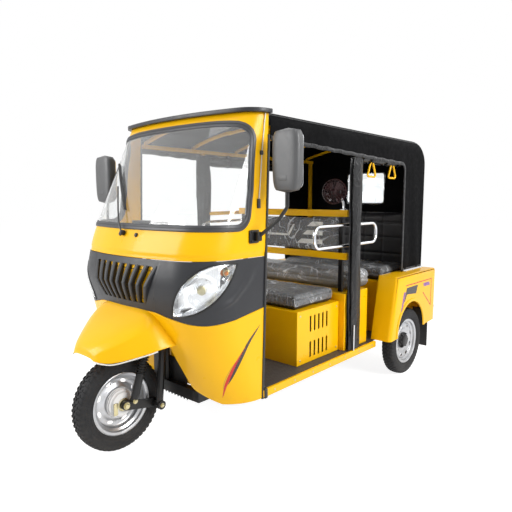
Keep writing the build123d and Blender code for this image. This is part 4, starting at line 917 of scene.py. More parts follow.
def beak():
    rows = []
    for y, top, top_z, mid, mid_z, low, low_z in BEAK:
        half = [at(top * 0.5, y, top_z + 0.004), at(top, y, top_z), at(mid, y, mid_z), at(low, y, low_z),
                at(low - 0.004, y, low_z - 0.003)]
        rows.append([Vector((-p.x, p.y, p.z)) for p in half[::-1]] + [at(0, y, top_z + 0.006)] + half)
    nose = BEAK[-1]
    rows.append([p.lerp(at(p.x, nose[0], nose[6]), 0.75) + Vector((-p.x * 0.1, -0.004, 0)) for p in rows[-1]])
    skin = Shape().grid(rows).piece("beak_skin", yellow, slot="yellow_paint", replaces=["front_mudguard"])
    crease_layer = skin.data.attributes.new("crease_edge", "FLOAT", "EDGE")
    ends = {tuple(round(c, 4) for c in row[i]) for row in rows for i in (2, 4, 6, 8)}
    for edge in skin.data.edges:
        a, b = (skin.data.vertices[i].co for i in edge.vertices)
        if all(tuple(round(c, 4) for c in p) in ends for p in (a, b)) and abs(a.y - b.y) > 0.005:
            crease_layer.data[edge.index].value = 0.55
    modify(skin, "SUBSURF", levels=3)
    modify(skin, "SOLIDIFY", thickness=0.005, offset=-1)
    shade(skin, 40)
    for side, sign in reversed(SIDES):
        edge = curve([at(sign * (row[5] - 0.002), row[0], row[6] - 0.006) for row in BEAK[2:]], 40)
        Shape().tube(edge, 0.0035, 8).piece(f"beak_edge_{side}", pale_trim, slot="rubber")


# Pillar rod: y, height
PILLAR_ROD = ((0.491, 1.28), (0.505, 1.40), (0.517, 1.54), (0.532, 1.66), (0.544, 1.742))
# Clips of the pillar rod: y, height, half height
PILLAR_CLIPS = ((0.514, 1.545, 0.011), (0.493, 1.292, 0.024))
CAP_Z = 1.132


def front_trim():
    """Door edge rubbers, pillar rods with clips, mirror brackets, washer caps and split lines."""
    edge = [at(CAB_HALF + 0.001, door_edge(z) + 0.004, z) for z in spread(CAB_LOW - 0.004, 1.64, 50)]
    section = rounded(rectangle((-0.007, -0.014), (0.007, 0.006)), 0.004, range(4), 4)
    Shape().sweep(edge, section, X_AXIS).both_sides().piece("door_edge_rubber", rubber, slot="rubber")
    rod = curve([at(0.5535, y, z) for y, z in PILLAR_ROD], 30)
    Shape().tube(rod, 0.0032, 10).both_sides().piece("pillar_rod", pale_trim, slot="rubber")
    clips, brackets, caps = Shape(), Shape(), Shape()
    for y, z, tall in PILLAR_CLIPS:
        clips.box(at(0.547, y - 0.010, z - tall), at(0.5605, y + 0.010, z + tall), 0.004)
    clips.both_sides().piece("pillar_clips", rubber, slot="rubber")
    for sign, y in ((1, 0.455), (-1, 0.40)):
        shape = Shape().box(at(0.5495, y - 0.034, 1.094), at(0.5605, y + 0.036, 1.160), 0.005)
        shape.box(at(0.555, y - 0.004, 1.104), at(0.588, y + 0.030, 1.152), 0.007)
        for z in (1.152, 1.104):
            shape.bolt(at(0.5605, y - 0.021, z), X_AXIS, 0.005, 0.004)
        for v in shape.verts:
            v.x *= sign
        brackets.add(shape.verts, [face[::sign] for face in shape.faces])
    brackets.piece("mirror_brackets", black_paint, slot="black_paint")
    for x in (-0.059, 0.081):
        foot = at(x, front_of(x, CAP_Z), CAP_Z)
        caps.lathe([(-0.004, 0.011), (0.005, 0.011), (0.008, 0.008)], foot, (0, -1, 0.25), 24)
    caps.piece("washer_caps", black_paint, slot="black_plastic")
    for side, sign in reversed(SIDES):
        line = [(sign * lerp(0.66, 0.80, t), lerp(0.770, 1.018, t), 0.0016) for t in spread(0, 1, 14)]
        skin_strip(f"fascia_split_{side}", line, stripe_black)


def wiper():
    def on_glass(x, z, lift):
        u = math.copysign(min(abs(x) / 0.42, 1.0), x)
        return cab_point(u, z, lift)

    foot = on_glass(-0.03, 1.138, 0.004)
    joint = on_glass(-0.265, 1.385, 0.026)
    Shape().lathe([(0, 0.014), (0.016, 0.014), (0.022, 0.008)], foot, (0, -1, 0.3), 24).tube(
        curve([foot + Vector((0, -0.016, 0.004)), on_glass(-0.10, 1.22, 0.034), joint], 16), 0.0045, 8).piece(
        "wiper_arm", black_paint, slot="black_paint")
    line = [on_glass(lerp(-0.40, -0.10, t), lerp(1.52, 1.26, t), 0.013) for t in spread(0, 1, 24)]
    out = cab_normal(-0.5, 1.4)
    blade = Shape().sweep(line, trapeze(0.006, -0.003, 0.003, 0.008), out)
    blade.sweep([p - out * 0.007 for p in line], trapeze(0.0015, -0.005, 0.0015, 0.005), out)
    blade.piece("wiper_blade", rubber, slot="rubber")


# Wheels

# Half section of a tyre: across, radius
TYRE_SIDE = ((0.034, 0.1665), (0.040, 0.174), (0.0462, 0.190), (0.0478, 0.206), (0.0462, 0.221),
             (0.041, 0.2345), (0.031, 0.2415), (0.016, 0.2442), (0.0, 0.245))
# Tread blocks of one pitch: places across, start and width as shares of the pitch, lean
TREAD = (((0.023, 0.032, 0.040, 0.0462), 0.0, 0.60, 1.4), ((0.0025, 0.011, 0.0195), 0.25, 0.66, -2.2))
# Raised rings on a tyre's side: radius of each, then their section as rise and step
SIDE_RINGS = (0.182, 0.2, 0.214)
RING_SECTION = ((-0.001, -0.0016), (0.001, 0.0), (-0.001, 0.0016))
# Half section of a rim's barrel and the section of its disc: along the axle, radius
RIM_SIDE = ((0.0395, 0.1640), (0.0375, 0.1672), (0.0350, 0.1660), (0.0335, 0.1590), (0.0310, 0.1530),
            (0.0180, 0.1500), (0.0100, 0.1385))
RIM_DISC = ((0.006, 0.1365), (0.012, 0.132), (0.016, 0.124), (0.0165, 0.110), (0.014, 0.098), (0.005, 0.088),
            (0.003, 0.078))
RIM_HOLES, RIM_HOLE_AT, RIM_HOLE = 8, 0.1115, (0.019, 0.0095)
# Front brake drum: along the axle, radius
FRONT_DRUM = ((-0.050, 0.030), (-0.050, 0.050), (-0.040, 0.058), (-0.020, 0.060), (-0.018, 0.074),
              (0.030, 0.074), (0.034, 0.066), (0.044, 0.062), (0.050, 0.050), (0.050, 0.030))


def tyre_radius(x):
    return smooth(TYRE_SIDE[3:][::-1], abs(x))[0]


def tread_block(shape, centre, xs, start, wide, lean):
    """One block of the tread, lower at its outer end."""
    low, top = [], []
    n = len(xs)
    for k, x in enumerate(xs):
        r = tyre_radius(x)
        depth = TREAD_DEPTH * (1.0 if k < n - 1 else 0.45)
        for end in (0, 1):
            inset = 0.12 * wide * (1 if end == 0 else -1)
            base = start + wide * end + lean * abs(x)
            for row, a, radius in ((low, base, r - 0.004), (top, base + inset, min(r + depth, TYRE_R))):
                row.append(centre + Vector((x, math.cos(a) * radius, math.sin(a) * radius)))
    first = len(shape.verts) + 2 * n
    last = first + 2 * n - 1
    shape.grid([low[0::2] + low[1::2][::-1], top[0::2] + top[1::2][::-1]], loop=True)
    for k in range(n - 1):
        shape.faces.append([first + k, first + k + 1, last - 1 - k, last - k])


def tyre(name, centre, body, node):
    profile = [*TYRE_SIDE, *[(-x, r) for x, r in TYRE_SIDE[-2::-1]]]
    fine = [(p.x, p.y) for p in curve([(*p, 0) for p in profile], 49)]
    shape = Shape().lathe(fine + [(-0.030, 0.158), (0.030, 0.158)], centre, X_AXIS, 96, ring=True)
    pitch = 2 * math.pi / TREAD_BLOCKS
    for i in range(TREAD_BLOCKS):
        for side, shift in ((-1, 0.5), (1, 0.0)):
            for xs, start, wide, lean in TREAD:
                places = [side * x for x in xs]
                tread_block(shape, centre, places, (i + shift + start) * pitch, wide * pitch, lean)
    for r in SIDE_RINGS:
        x = smooth([(q, p) for p, q in TYRE_SIDE[:6]], r)[0]
        for side in (-1, 1):
            bead = [(side * (x + rise), r + step) for rise, step in RING_SECTION]
            shape.lathe(bead, centre, X_AXIS, 96, caps=False)
    shape.piece(name, tyre_rubber, body, "tyre", [node], angle=30)


def rim(name, centre, body, node, out, hub_r):
    """Pressed steel rim with a pierced disc; out is the side its dish faces."""
    profile = [*RIM_SIDE, *[(-x, r) for x, r in RIM_SIDE[::-1]]]
    made = Shape().lathe(profile, centre, X_AXIS, 72, caps=False).piece(
        name, steel, body, "silver_steel", [node])
    modify(made, "SOLIDIFY", thickness=0.003, offset=-1, use_even_offset=True)
    dish = [(out * x, r) for x, r in (*RIM_DISC, (0.004, hub_r - 0.003))]
    disc = Shape().lathe(dish, centre, X_AXIS, 96, caps=False).bare()
    disc.data.materials.append(steel)
    modify(disc, "SOLIDIFY", thickness=0.004, offset=0)
    holes = Shape()
    oval = [(RIM_HOLE[0] * math.cos(a), RIM_HOLE[1] * math.sin(a)) for a in turns(20)]
    for i in range(RIM_HOLES):
        a = 2 * math.pi * (i + 0.5) / RIM_HOLES
        radial = Vector((0, math.cos(a), math.sin(a)))
        tangent = Vector((0, -math.sin(a), math.cos(a)))
        holes.prism(oval, centre + radial * RIM_HOLE_AT, tangent, radial, (-0.05, 0.05))
    carve(disc, holes.bare())
    soften(disc, 0.0012)
    return made, disc


def join(target, *others):
    with bpy.context.temp_override(active_object=target, object=target, selected_objects=[target, *others],
                                   selected_editable_objects=[target, *others]):
        bpy.ops.object.join()
    shade(target)


def wheels():
    tyre("front_tread", AXLE, "front_wheel", "front_tyre")
    made, disc = rim("front_wheel_rim", AXLE, "front_wheel", "front_rim", -1, 0.072)
    drum = Shape().lathe(FRONT_DRUM, AXLE, X_AXIS, 64)
    for x in (-0.008, 0.006, 0.020):
        fin = [(x - 0.002, 0.073), (x - 0.001, 0.0775), (x + 0.001, 0.0775), (x + 0.002, 0.073)]
        drum.lathe(fin, AXLE, X_AXIS, 64, ring=True)
    join(made, disc, drum.bare())
    plate = Shape().lathe([(0.046, 0.010), (0.052, 0.034), (0.056, 0.030), (0.056, 0.010)], AXLE, X_AXIS, 40)
    plate.box(AXLE + Vector((0.050, -0.060, -0.045)), AXLE + Vector((0.056, -0.036, 0.020)), 0.003)
    plate.piece("front_brake_plate", zinc, "steering", "chrome")
    hub_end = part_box("rear_hub_left")[1].x
    for side, sign in SIDES:
        centre = joint_at[f"rear_wheel_{side}_spin"]
        body = f"rear_wheel_{side}"
        tyre(f"rear_tread_{side}", centre, body, f"rear_tyre_{side}")
        made, disc = rim(f"rear_wheel_rim_{side}", centre, body, f"rear_rim_{side}", sign, 0.062)
        join(made, disc)
        reach = hub_end - centre.x * sign
        profile = [(0.004, 0.060), (0.010, 0.060), (0.014, 0.048), (reach - 0.004, 0.044), (reach, 0.036),
                   (reach, 0.0)]
        hub = Shape().lathe([(sign * x, r) for x, r in profile], centre, X_AXIS, 40, caps=False)
        for a in turns(6):
            spot = Vector((sign * 0.009, math.cos(a) * 0.052, math.sin(a) * 0.052))
            hub.bolt(centre + spot, X_AXIS * sign, 0.0075, 0.016)
        hub.piece(f"rear_hub_cap_{side}", black_paint, body, "black_paint", [f"rear_hub_{side}"])


def shocks():
    """Front dampers with folded boots, and the bolts of the fork."""
    low, top = at(0.100, 0.030, 0.276), at(0.100, 0.118, 0.543)
    way = (top - low).normalized()
    length = (top - low).length
    boot_low, boot_top = length / 2, length - 0.033
    profile = [(0.000, 0.012), (0.012, 0.021), (boot_low - 0.012, 0.021), (boot_low - 0.010, 0.0235),
               (boot_low, 0.0235)]
    for i in range(BOOT_FOLDS):
        for share, r in ((0.15, 0.019), (0.40, 0.0255), (0.60, 0.0255), (0.85, 0.019)):
            profile.append((lerp(boot_low, boot_top, (i + share) / BOOT_FOLDS), r))
    profile += [(boot_top + 0.002, 0.022), (boot_top + 0.008, 0.022), (boot_top + 0.010, 0.012),
                (length, 0.012)]
    dampers = Shape().lathe(profile, low, way, 32)
    for eye, inner in ((top, -0.013), (low, -0.021)):
        dampers.lathe([(inner, 0.013), (0.013, 0.013)], eye, X_AXIS, 24)
    dampers.both_sides().piece("front_dampers", black_paint, "steering", "black_paint", ["front_shocks"])
    bolts = Shape()
    for place, r in ((top + X_AXIS * 0.037, 0.009), (low + X_AXIS * 0.013, 0.010),
                     (at(0.137, 0.182, 0.212), 0.009), (at(0.078, 0.0, 0.25), 0.014)):
        bolts.bolt(place, X_AXIS, r, r)
    bolts.both_sides().piece("fork_bolts", zinc, "steering", "chrome")


# Soft parts

WRAP_LIFT = 0.003
# Partition stripes: height and reach of each bar, their left end and half height, then the cranked line
BAR_ROWS, BAR_LEFT, BAR_HALF = ((1.142, 0.10), (1.082, 0.14), (1.020, 0.19)), 0.30, 0.016
BAR_LINE = ((-0.40, 1.066), (0.0, 1.066), (0.045, 1.135), (0.062, 1.135), (0.012, 1.052), (-0.40, 1.052))

def cushion(name, node, material, sink, cap=0.024, voxel=0.012):
    """Padded block from the node's box, blown up a little as cloth and kept flat where it rests."""
    low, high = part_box(node)
    inset = Vector((sink, sink, sink))
    shape = Shape().box(low + inset, high - inset, min(high - low) * 0.17)
    pad = shape.bare(name)
    pad.data.materials.append(material)
    modify(pad, "REMESH", mode="VOXEL", voxel_size=voxel)
    start = [v.co.copy() for v in pad.data.vertices]
    cloth = pad.modifiers.new("cloth", "CLOTH")
    cloth.settings.use_pressure = True
    cloth.settings.uniform_pressure_force = 2.5
    cloth.settings.effector_weights.gravity = 0
    cloth.point_cache.frame_end = 20
    for step in range(1, 21):
        scene.frame_set(step)
    apply(pad)
    scene.frame_set(1)
    for v, first in zip(pad.data.vertices, start):
        move = v.co - first
        if move.length > cap:
            v.co = first + move.normalized() * cap
        v.co = Vector([min(max(c, a), b) for c, a, b in zip(v.co, low, high)])
    modify(pad, "SUBSURF", levels=1)
    return pad


def press(pad, groove):
    """Moves each point inward along its normal by what groove gives."""
    normals = [v.normal.copy() for v in pad.data.vertices]
    for v, n in zip(pad.data.vertices, normals):
        v.co -= n * groove(v.co, n)


def seam(distance, width=0.009, depth=0.006):
    return depth * math.exp(-(distance / width) ** 2)


def film(name, pad, keep):
    """Clear wrap that lies over part of a pad, with creases of its own."""
    mesh = pad.data.copy()
    form = bmesh.new()
    form.from_mesh(mesh)
    bare = [f for f in form.faces if not keep(f.calc_center_median(), f.normal)]
    bmesh.ops.delete(form, geom=bare, context="FACES")
    form.normal_update()
    for v in form.verts:
        fold = noise.noise(Vector((v.co.x * 16 + v.co.y * 9, v.co.y * 24, v.co.z * 18)))
        v.co += v.normal * (WRAP_LIFT + 0.004 * (1 - abs(fold)) ** 5)
    form.to_mesh(mesh)
    form.free()
    obj = bpy.data.objects.new(name, mesh)
    scene.collection.objects.link(obj)
    mesh.materials.clear()
    mesh.materials.append(wrap)
    dress(obj, angle=70)


def seats():
    low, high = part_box("driver_cushion")
    driver = cushion("driver_seat_pad", "driver_cushion", leather, 0.010)

    def driver_groove(p, n):
        across = seam(min(abs(p.y - low.y - 0.062), abs(high.y - 0.06 - p.y)) if n.z > 0.4 else 1)
        pleat = 0.004 * math.cos((p.x / 0.034) * math.pi) ** 8 if n.y < -0.4 or abs(n.x) > 0.6 else 0.0
        return across + pleat + seam(abs(p.z - high.z + 0.030) if abs(n.z) < 0.4 else 1, 0.005, 0.003)

    press(driver, driver_groove)
    dress(driver, replaces=["driver_cushion"], angle=60)
    film("driver_seat_wrap", driver, lambda c, n: n.z > -0.2 and c.z > low.z + 0.028)

    for name, node, cover, rows in (("mid_seat", "mid_cushion", seat_grey, 2),
                                    ("rear_seat", "rear_cushion", leather, 4)):
        a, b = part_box(node)
        pad = cushion(name + "_pad", node, cover, 0.012)

        def groove(p, n, a=a, b=b, rows=rows):
            lines = [lerp(a.x, b.x, (k + 1) / (rows + 1)) for k in range(rows)]
            top = min(abs(p.x - x) for x in lines) if n.z > 0.4 else 1
            border = min(abs(p.y - a.y - 0.05), abs(b.y - 0.05 - p.y)) if n.z > 0.4 else 1
            belt = abs(p.z - (a.z + b.z) / 2) if abs(n.z) < 0.5 else 1
            return seam(top) + seam(border, 0.007, 0.004) + seam(belt, 0.006, 0.004)

        press(pad, groove)
        dress(pad, replaces=[node], angle=60)
        film(name + "_wrap", pad, lambda c, n, a=a: n.z > -0.2 and c.z > a.z + 0.03)

    a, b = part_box("rear_backrest")
    back = cushion("rear_back_pad", "rear_backrest", leather, 0.012)

    def back_groove(p, n):
        lines = [lerp(a.z, b.z, k) for k in (0.30, 0.55, 0.78)]
        ribs = abs((p.x / 0.17) % 1 - 0.5) * 0.17
        return (seam(min(abs(p.z - z) for z in lines)) + seam(ribs, 0.007, 0.004)) if n.y < -0.4 else 0.0

    press(back, back_groove)
    dress(back, replaces=["rear_backrest"], angle=60)

    panel = cushion("partition_pad", "partition_panel", leather, 0.003, cap=0.008, voxel=0.010)
    dress(panel, replaces=["partition_panel"], angle=60)
    film("partition_wrap", panel, lambda _, n: n.y < 0.3)
    outlines = [BAR_LINE]
    for z, reach in BAR_ROWS:
        low, high, end = z - BAR_HALF, z + BAR_HALF, BAR_LEFT - reach
        outlines.append([(end - 0.03, low), (BAR_LEFT, low), (BAR_LEFT, high), (end + 0.012, high)])
    bars = Shape()
    face = Vector((0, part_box("partition_panel")[0].y - 0.0035, 0))
    for outline in outlines:
        bars.prism(outline, face, X_AXIS, Z_AXIS, (-0.0015, 0.0005))
    bars.piece("partition_stripes", pale_trim, slot="seat_cover")


def canopy_line():
    """Rows of (y, height, outward y, outward z) from the roof's front round the tail and down the back."""
    rows = [(y, CANOPY_SIDE_TOP, 0.0, 1.0) for y in spread(CANOPY_FRONT, CANOPY_REAR - CANOPY_TAIL, 72)]
    for a in spread(0, math.pi / 2, 16)[1:-1]:
        rows.append((CANOPY_REAR - CANOPY_TAIL + CANOPY_TAIL * math.sin(a),
                     CANOPY_SIDE_TOP - CANOPY_TAIL + CANOPY_TAIL * math.cos(a), math.sin(a), math.cos(a)))
    low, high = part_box("rear_window")
    back = spread(CANOPY_SIDE_TOP - CANOPY_TAIL, high.z, 3) + spread(high.z, low.z, 14)[1:]
    rows += [(CANOPY_REAR, z, 1.0, 0.0) for z in back + spread(low.z, CANOPY_LOW, 22)[1:]]
    return rows


def sag(y):
    """Dip of the canvas between two roof bows."""
    for a, b in zip(BOWS, BOWS[1:]):
        if a < y < b:
            return 0.007 * math.sin(math.pi * (y - a) / (b - a)) ** 2
    return 0.0


def ripple(p, amount):
    return amount * noise.noise(Vector((p.x * 5, p.y * 4, p.z * 4)))


def valance(y):
    """Height of the canopy's lower edge over the doorways."""
    share = (y - VALANCE_Y[0]) / (VALANCE_Y[1] - VALANCE_Y[0])
    return lerp(*VALANCE_Z, share) - 0.004 * math.sin(y * 23) ** 2


def valance_corner():
    """Rounded rear end of the valance, as (y, height) pairs."""
    y, z, r = VALANCE_Y[1], VALANCE_Z[1], VALANCE_ROUND
    return [(y - r * (1 - math.sin(a)), z - r * (1 - math.cos(a))) for a in spread(0, math.pi / 2, 7)]


def canopy_back(x):
    """How far rearward the crowned back of the canopy stands."""
    return CANOPY_REAR + 0.25 * CANOPY_CROWN * (1 - (x / (CANOPY_HALF - CANOPY_SHOULDER)) ** 2)


def canopy():
    r, half = CANOPY_SHOULDER, CANOPY_HALF
    low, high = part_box("rear_window")
    across = spread(-(half - r), low.x, 14) + spread(low.x, high.x, 17)[1:-1] + spread(high.x, half - r, 14)
    rows = []
    for y, z, out_y, out_z in canopy_line():
        line = []
        crown = CANOPY_CROWN * (0.25 + 0.75 * out_z)
        for a in spread(math.pi / 2, 0, 9)[:-1]:
            line.append((-(half - r + r * math.sin(a)), -r * (1 - math.cos(a))))
        for x in across:
            line.append((x, crown * (1 - (x / (half - r)) ** 2) - sag(y) * out_z * (1 - (x / half) ** 4)))
        for a in spread(0, math.pi / 2, 9)[1:]:
            line.append((half - r + r * math.sin(a), -r * (1 - math.cos(a))))
        row = []
        for x, rise in line:
            p = at(x, y + out_y * rise, z + out_z * rise)
            inner = max(0.0, 1 - abs(x) / (half - r)) ** 0.5
            row.append(p - Vector((0, out_y, out_z)) * abs(ripple(p, 0.006)) * inner)
        rows.append(row)
    visor_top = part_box("roof_visor")[1].z - 0.006
    drop = [Vector((p.x, p.y, min(p.z - 0.002, visor_top))) for p in rows[0]]
    roof = Shape().grid([drop] + rows)
    tail = CANOPY_TAIL - r
    tail_y, tail_z = CANOPY_REAR - CANOPY_TAIL, CANOPY_SIDE_TOP - CANOPY_TAIL

    def side_top(y):
        if y <= tail_y:
            return CANOPY_SIDE_TOP - r
        return tail_z + math.sqrt(max(tail ** 2 - (y - tail_y) ** 2, 0))

    def column(y, low, count):
        points = []
        for t in spread(0, 1, count):
            z = lerp(low, side_top(y), t)
            wave = 0.004 * math.sin(y * 31 + z * 4) * (1 - t) * min(1, (side_top(y) - z) * 8)
            points.append(at(half + wave, y, z))
        return points

    side = Shape()
    side.grid([column(y, valance(y), 8) for y in spread(CANOPY_FRONT, VALANCE_Y[1], 90)])
    side.grid([[at(half, y, valance(y) + 0.001), at(half, y, z)] for y, z in valance_corner()])
    side.grid([column(y, CANOPY_LOW, 40) for y in spread(VALANCE_Y[1], CANOPY_REAR - r, 26)])
    side.both_sides()
    roof.add(side.verts, side.faces)
    cover = roof.piece("canopy_canvas", canvas, slot="black_canvas", replaces=["canopy"], angle=50)
    form = bmesh.new()
    form.from_mesh(cover.data)
    hole = [f for f in form.faces if f.calc_center_median().y > at(0, 2.5, 0).y
            and low.x < f.calc_center_median().x < high.x and low.z < f.calc_center_median().z < high.z]
    bmesh.ops.delete(form, geom=hole, context="FACES")
    form.to_mesh(cover.data)
    form.free()
    modify(cover, "SOLIDIFY", thickness=0.003, offset=-1)
    shade(cover, 50)
    pane, lap = [], 0.012
    for z in spread(low.z - lap, high.z + lap, 24):
        row = []
        for x in spread(low.x - lap, high.x + lap, 30):
            wave = 0.003 * noise.noise(Vector((x * 9, 0, z * 9)))
            row.append(at(x, canopy_back(x) - 0.002 + wave, z))
        pane.append(row)
    sheet = Shape().grid(pane).piece("rear_window_vinyl", vinyl, slot="clear_glass", replaces=["rear_window"],
                                     angle=60)
    modify(sheet, "SOLIDIFY", thickness=0.0015, offset=0)
    hems()


def hems():
    """Bound edges of the canopy and a frame round its rear window."""
    half = CANOPY_HALF + 0.0005
    lower = [at(half, y, valance(y)) for y in spread(CANOPY_FRONT, VALANCE_Y[1] - VALANCE_ROUND, 80)]
    lower += [at(half, y, z) for y, z in valance_corner()[1:]]
    lower += [at(half, VALANCE_Y[1], z) for z in spread(1.50, CANOPY_LOW + 0.01, 30)]
    foot = [at(half, y, CANOPY_LOW + 0.010) for y in spread(VALANCE_Y[1], CANOPY_REAR - CANOPY_SHOULDER, 20)]
    flat = rounded(rectangle((-0.003, -0.012), (0.003, 0.012)), 0.002, range(4), 3)
    binding = Shape()
    for edge in (lower, foot):
        binding.sweep(edge, [(b, a) for a, b in flat], X_AXIS)
    ends = CANOPY_FRONT, CANOPY_REAR - CANOPY_TAIL
    shoulder = [at(half - 0.022, y, CANOPY_SIDE_TOP - 0.0215) for y in spread(*ends, 40)]
    binding.tube(shoulder, 0.0035, 8)
    binding.both_sides()
    low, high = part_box("rear_window")
    ring = rounded(rectangle((low.x, low.z), (high.x, high.z)), 0.03, range(4), 8)
    path = [at(p.x, canopy_back(p.x) + 0.0005, p.y) for p in ring]
    binding.sweep(path, rectangle((-0.014, -0.002), (0.010, 0.0025)), Y_AXIS, closed=True)
    binding.piece("canopy_binding", curtain_cloth, slot="black_canvas", angle=50)


# Rolled curtain: place across, winds of the spiral, inner and outer radius, slope along its length
ROLL_X, ROLL_WINDS, ROLL_R, ROLL_SLOPE = 0.520, 5, (0.007, 0.033), 0.012


def curtain_roll(name, sign, start, end, z):
    """Side curtain rolled up under the valance, a spiral of cloth held by straps."""
    spiral = [(2 * math.pi * ROLL_WINDS * t, lerp(*ROLL_R, t)) for t in spread(0, 1, 120)]
    rows = []
    for y in spread(start, end, 40):
        pinch = 1 - 0.22 * sum(math.exp(-((y - s) / 0.022) ** 2) for s in straps_at(start, end))
        middle_z = z - ROLL_SLOPE * (y - start)
        row = []
        for a, r in spiral:
            lump = 1 + 0.10 * noise.noise(Vector((math.cos(a) * 1.5, y * 9, math.sin(a) * 1.5)))
            reach = r * pinch * lump
            row.append(at(sign * (ROLL_X + math.cos(a) * reach), y, middle_z + math.sin(a) * reach))
        rows.append(row)
    roll = Shape().grid(rows).piece(name, curtain_cloth, slot="black_canvas", angle=60)
    straps = Shape()
    for y in straps_at(start, end):
        middle_z = z - ROLL_SLOPE * (y - start)
        ring = []
        for a in turns(24):
            lift = 0.012 if math.sin(a) > 0.9 else 0
            ring.append(at(sign * (ROLL_X + 0.031 * math.cos(a)), y, middle_z + 0.033 * math.sin(a) + lift))
        x, middle = sign * ROLL_X, at(sign * ROLL_X, y, z)
        out = [(p - middle).normalized() for p in ring]
        straps.sweep(ring, rectangle((-0.011, -0.001), (0.011, 0.0015)), out, closed=True)
        straps.box(at(x - 0.009, y - 0.010, z + 0.030), at(x + 0.009, y + 0.010, 1.642), 0.001)
    straps.piece(name + "_straps", canvas, slot="black_canvas")


def straps_at(start, end):
    return [lerp(start, end, k) for k in (0.18, 0.58, 0.90)]


def pillar_curtain(name, sign, y, low, high):
    """Curtain gathered round a roof post, with uneven upright folds."""
    folds, count = 7, 110
    rows = []
    for z in spread(low, high, 64):
        t = (z - low) / (high - low)
        loose = 1 + 0.10 * math.sin(t * 9) + 0.12 * (1 - t)
        row = []
        for a in spread(-0.2, 2 * math.pi + 0.2, count):
            wave = math.sin(folds * a + 1.7 * math.sin(t * 5 + a) + 2.2 * t) + 0.05 * a
            fine = noise.noise(Vector((math.cos(a) * 1.6, math.sin(a) * 1.6, z * 7 + sign)))
            grow = 1 + 0.16 * wave + 0.16 * fine
            square = (abs(math.cos(a)) ** 3 + abs(math.sin(a)) ** 3) ** (-1 / 3)
            x = 0.5335 + 0.0225 * math.cos(a) * square * (0.86 + 0.14 * grow)
            row.append(at(sign * min(x, 0.5595), y + 0.050 * math.sin(a) * square * grow * loose, z))
        rows.append(row)
    cloth = Shape().grid(rows).piece(name, curtain_cloth, slot="black_canvas", angle=70)


def curtains():
    curtain_roll("curtain_roll_left", 1, 1.545, 2.105, 1.585)
    curtain_roll("curtain_roll_right", -1, 1.18, 2.105, 1.585)
    pillar_curtain("curtain_left", 1, 1.478, 0.312, 1.628)
    pillar_curtain("curtain_right", -1, 1.108, 0.312, 1.628)
    strip = Shape().box(at(0.5585, 1.442, 0.305), at(0.5625, 1.452, 0.480), 0.0015)
    strip.piece("pillar_strip", chrome, slot="chrome")


# Body fittings


# Middles of the mirrors and half sizes of a housing
MIRRORS = ((0.700, 0.540, 1.500), (-0.700, 0.400, 1.440))
MIRROR_HALF = (0.0825, 0.035, 0.155)


def mirrors():
    """Rounded housings, flat behind where the mirror glass sits."""
    faces, housings = Shape(), Shape()
    for middle in MIRRORS:
        centre = at(*middle)
        rows = []
        for t in spread(-1, 1, 25):
            round_off = max((1 - abs(t) ** 5) ** 0.2 if abs(t) < 1 else 0.05, 0.05)
            taper = 1 - 0.10 * max(0.0, -t - 0.1)
            row = []
            for a in turns(48):
                c, s = math.cos(a), math.sin(a)
                square = (abs(c) ** 4 + abs(s) ** 4) ** -0.25
                x = MIRROR_HALF[0] * c * square * round_off * taper
                y = MIRROR_HALF[1] * s * square * round_off
                row.append(centre + Vector((x, min(y, MIRROR_HALF[1] - 0.003), MIRROR_HALF[2] * t)))
            rows.append(row)
        housings.grid(rows, loop=True, caps=True)
        face = rounded(rectangle((-0.070, -0.135), (0.070, 0.135)), 0.03, range(4), 6)
        faces.prism(face, centre + Vector((0, 0.0325, 0)), X_AXIS, Z_AXIS, (-0.0015, 0.001))
        housings.block(centre + Vector((-0.004, -0.03275, -0.085)), (0.026, 0.00275, 0.013), 0.0015)
    housings.piece("mirror_shells", grey_plastic, slot="black_plastic", replaces=["mirror_housings"],
                   angle=50)
    faces.piece("mirror_faces", chrome, slot="chrome")


def tubes():
    """Smooth round tubes in place of the faceted bars, with their lugs."""
    low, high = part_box("guard_loops")
    x, r = high.x - LOOP_R, LOOP_R
    ring = [Vector((x, y, z)) for y, z in rectangle((low.y + r, low.z + r), (high.y - r, high.z - r))]
    loops = Shape().tube(rounded(ring, 0.055, range(4), 12), r, 20, closed=True)
    post_low, post_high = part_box("partition_frame")
    middle = (post_low.y + post_high.y) / 2
    for z in (low.z + r, high.z - r):
        loops.box(Vector((0.454, middle - 0.010, z - 0.006)), Vector((x, middle + 0.010, z + 0.006)), 0.002)
    loops.both_sides().piece("guard_tubes", chrome, slot="chrome", replaces=["guard_loops"])

    low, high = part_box("rear_bumper")
    y = high.y - r
    ring = [Vector((x, y, z)) for x, z in rectangle((low.x + r, low.z + r), (high.x - r, high.z - r))]
    bumper = Shape().tube(rounded(ring, 0.045, range(4), 12), r, 20, closed=True)
    for x in (-0.275, 0.275):
        bumper.box(Vector((x - 0.010, y - 0.119, 0.400)), Vector((x + 0.010, y, 0.442)), 0.002)
        bumper.box(Vector((x - 0.010, y - 0.010, low.z + r)), Vector((x + 0.010, y + 0.005, high.z - r)),
                   0.002)
    bumper.piece("bumper_tube", chrome, slot="chrome", replaces=["rear_bumper"])

    arms = Shape()
    for points in MIRROR_ARMS:
        arms.tube(rounded([at(*p) for p in points], 0.030, (1, 2, 3), 10), 0.009, 16)
    arms.piece("mirror_tubes", black_paint, slot="black_paint", replaces=["mirror_arms"])

    handles = Shape()
    for y in HANDLE_Y:
        ring = [at(HANDLE_X, y + dy, z) for dy, z in ((-0.060, 1.465), (0.060, 1.465), (0.0, 1.590))]
        handles.tube(rounded(ring, 0.014, range(3), 8), 0.007, 14, closed=True)
        handles.tube([at(HANDLE_X, y, z) for z in (1.562, 1.640)], 0.007, 14)
    handles.both_sides().piece("strap_handles", yellow, slot="yellow_paint", replaces=["grab_handles"])


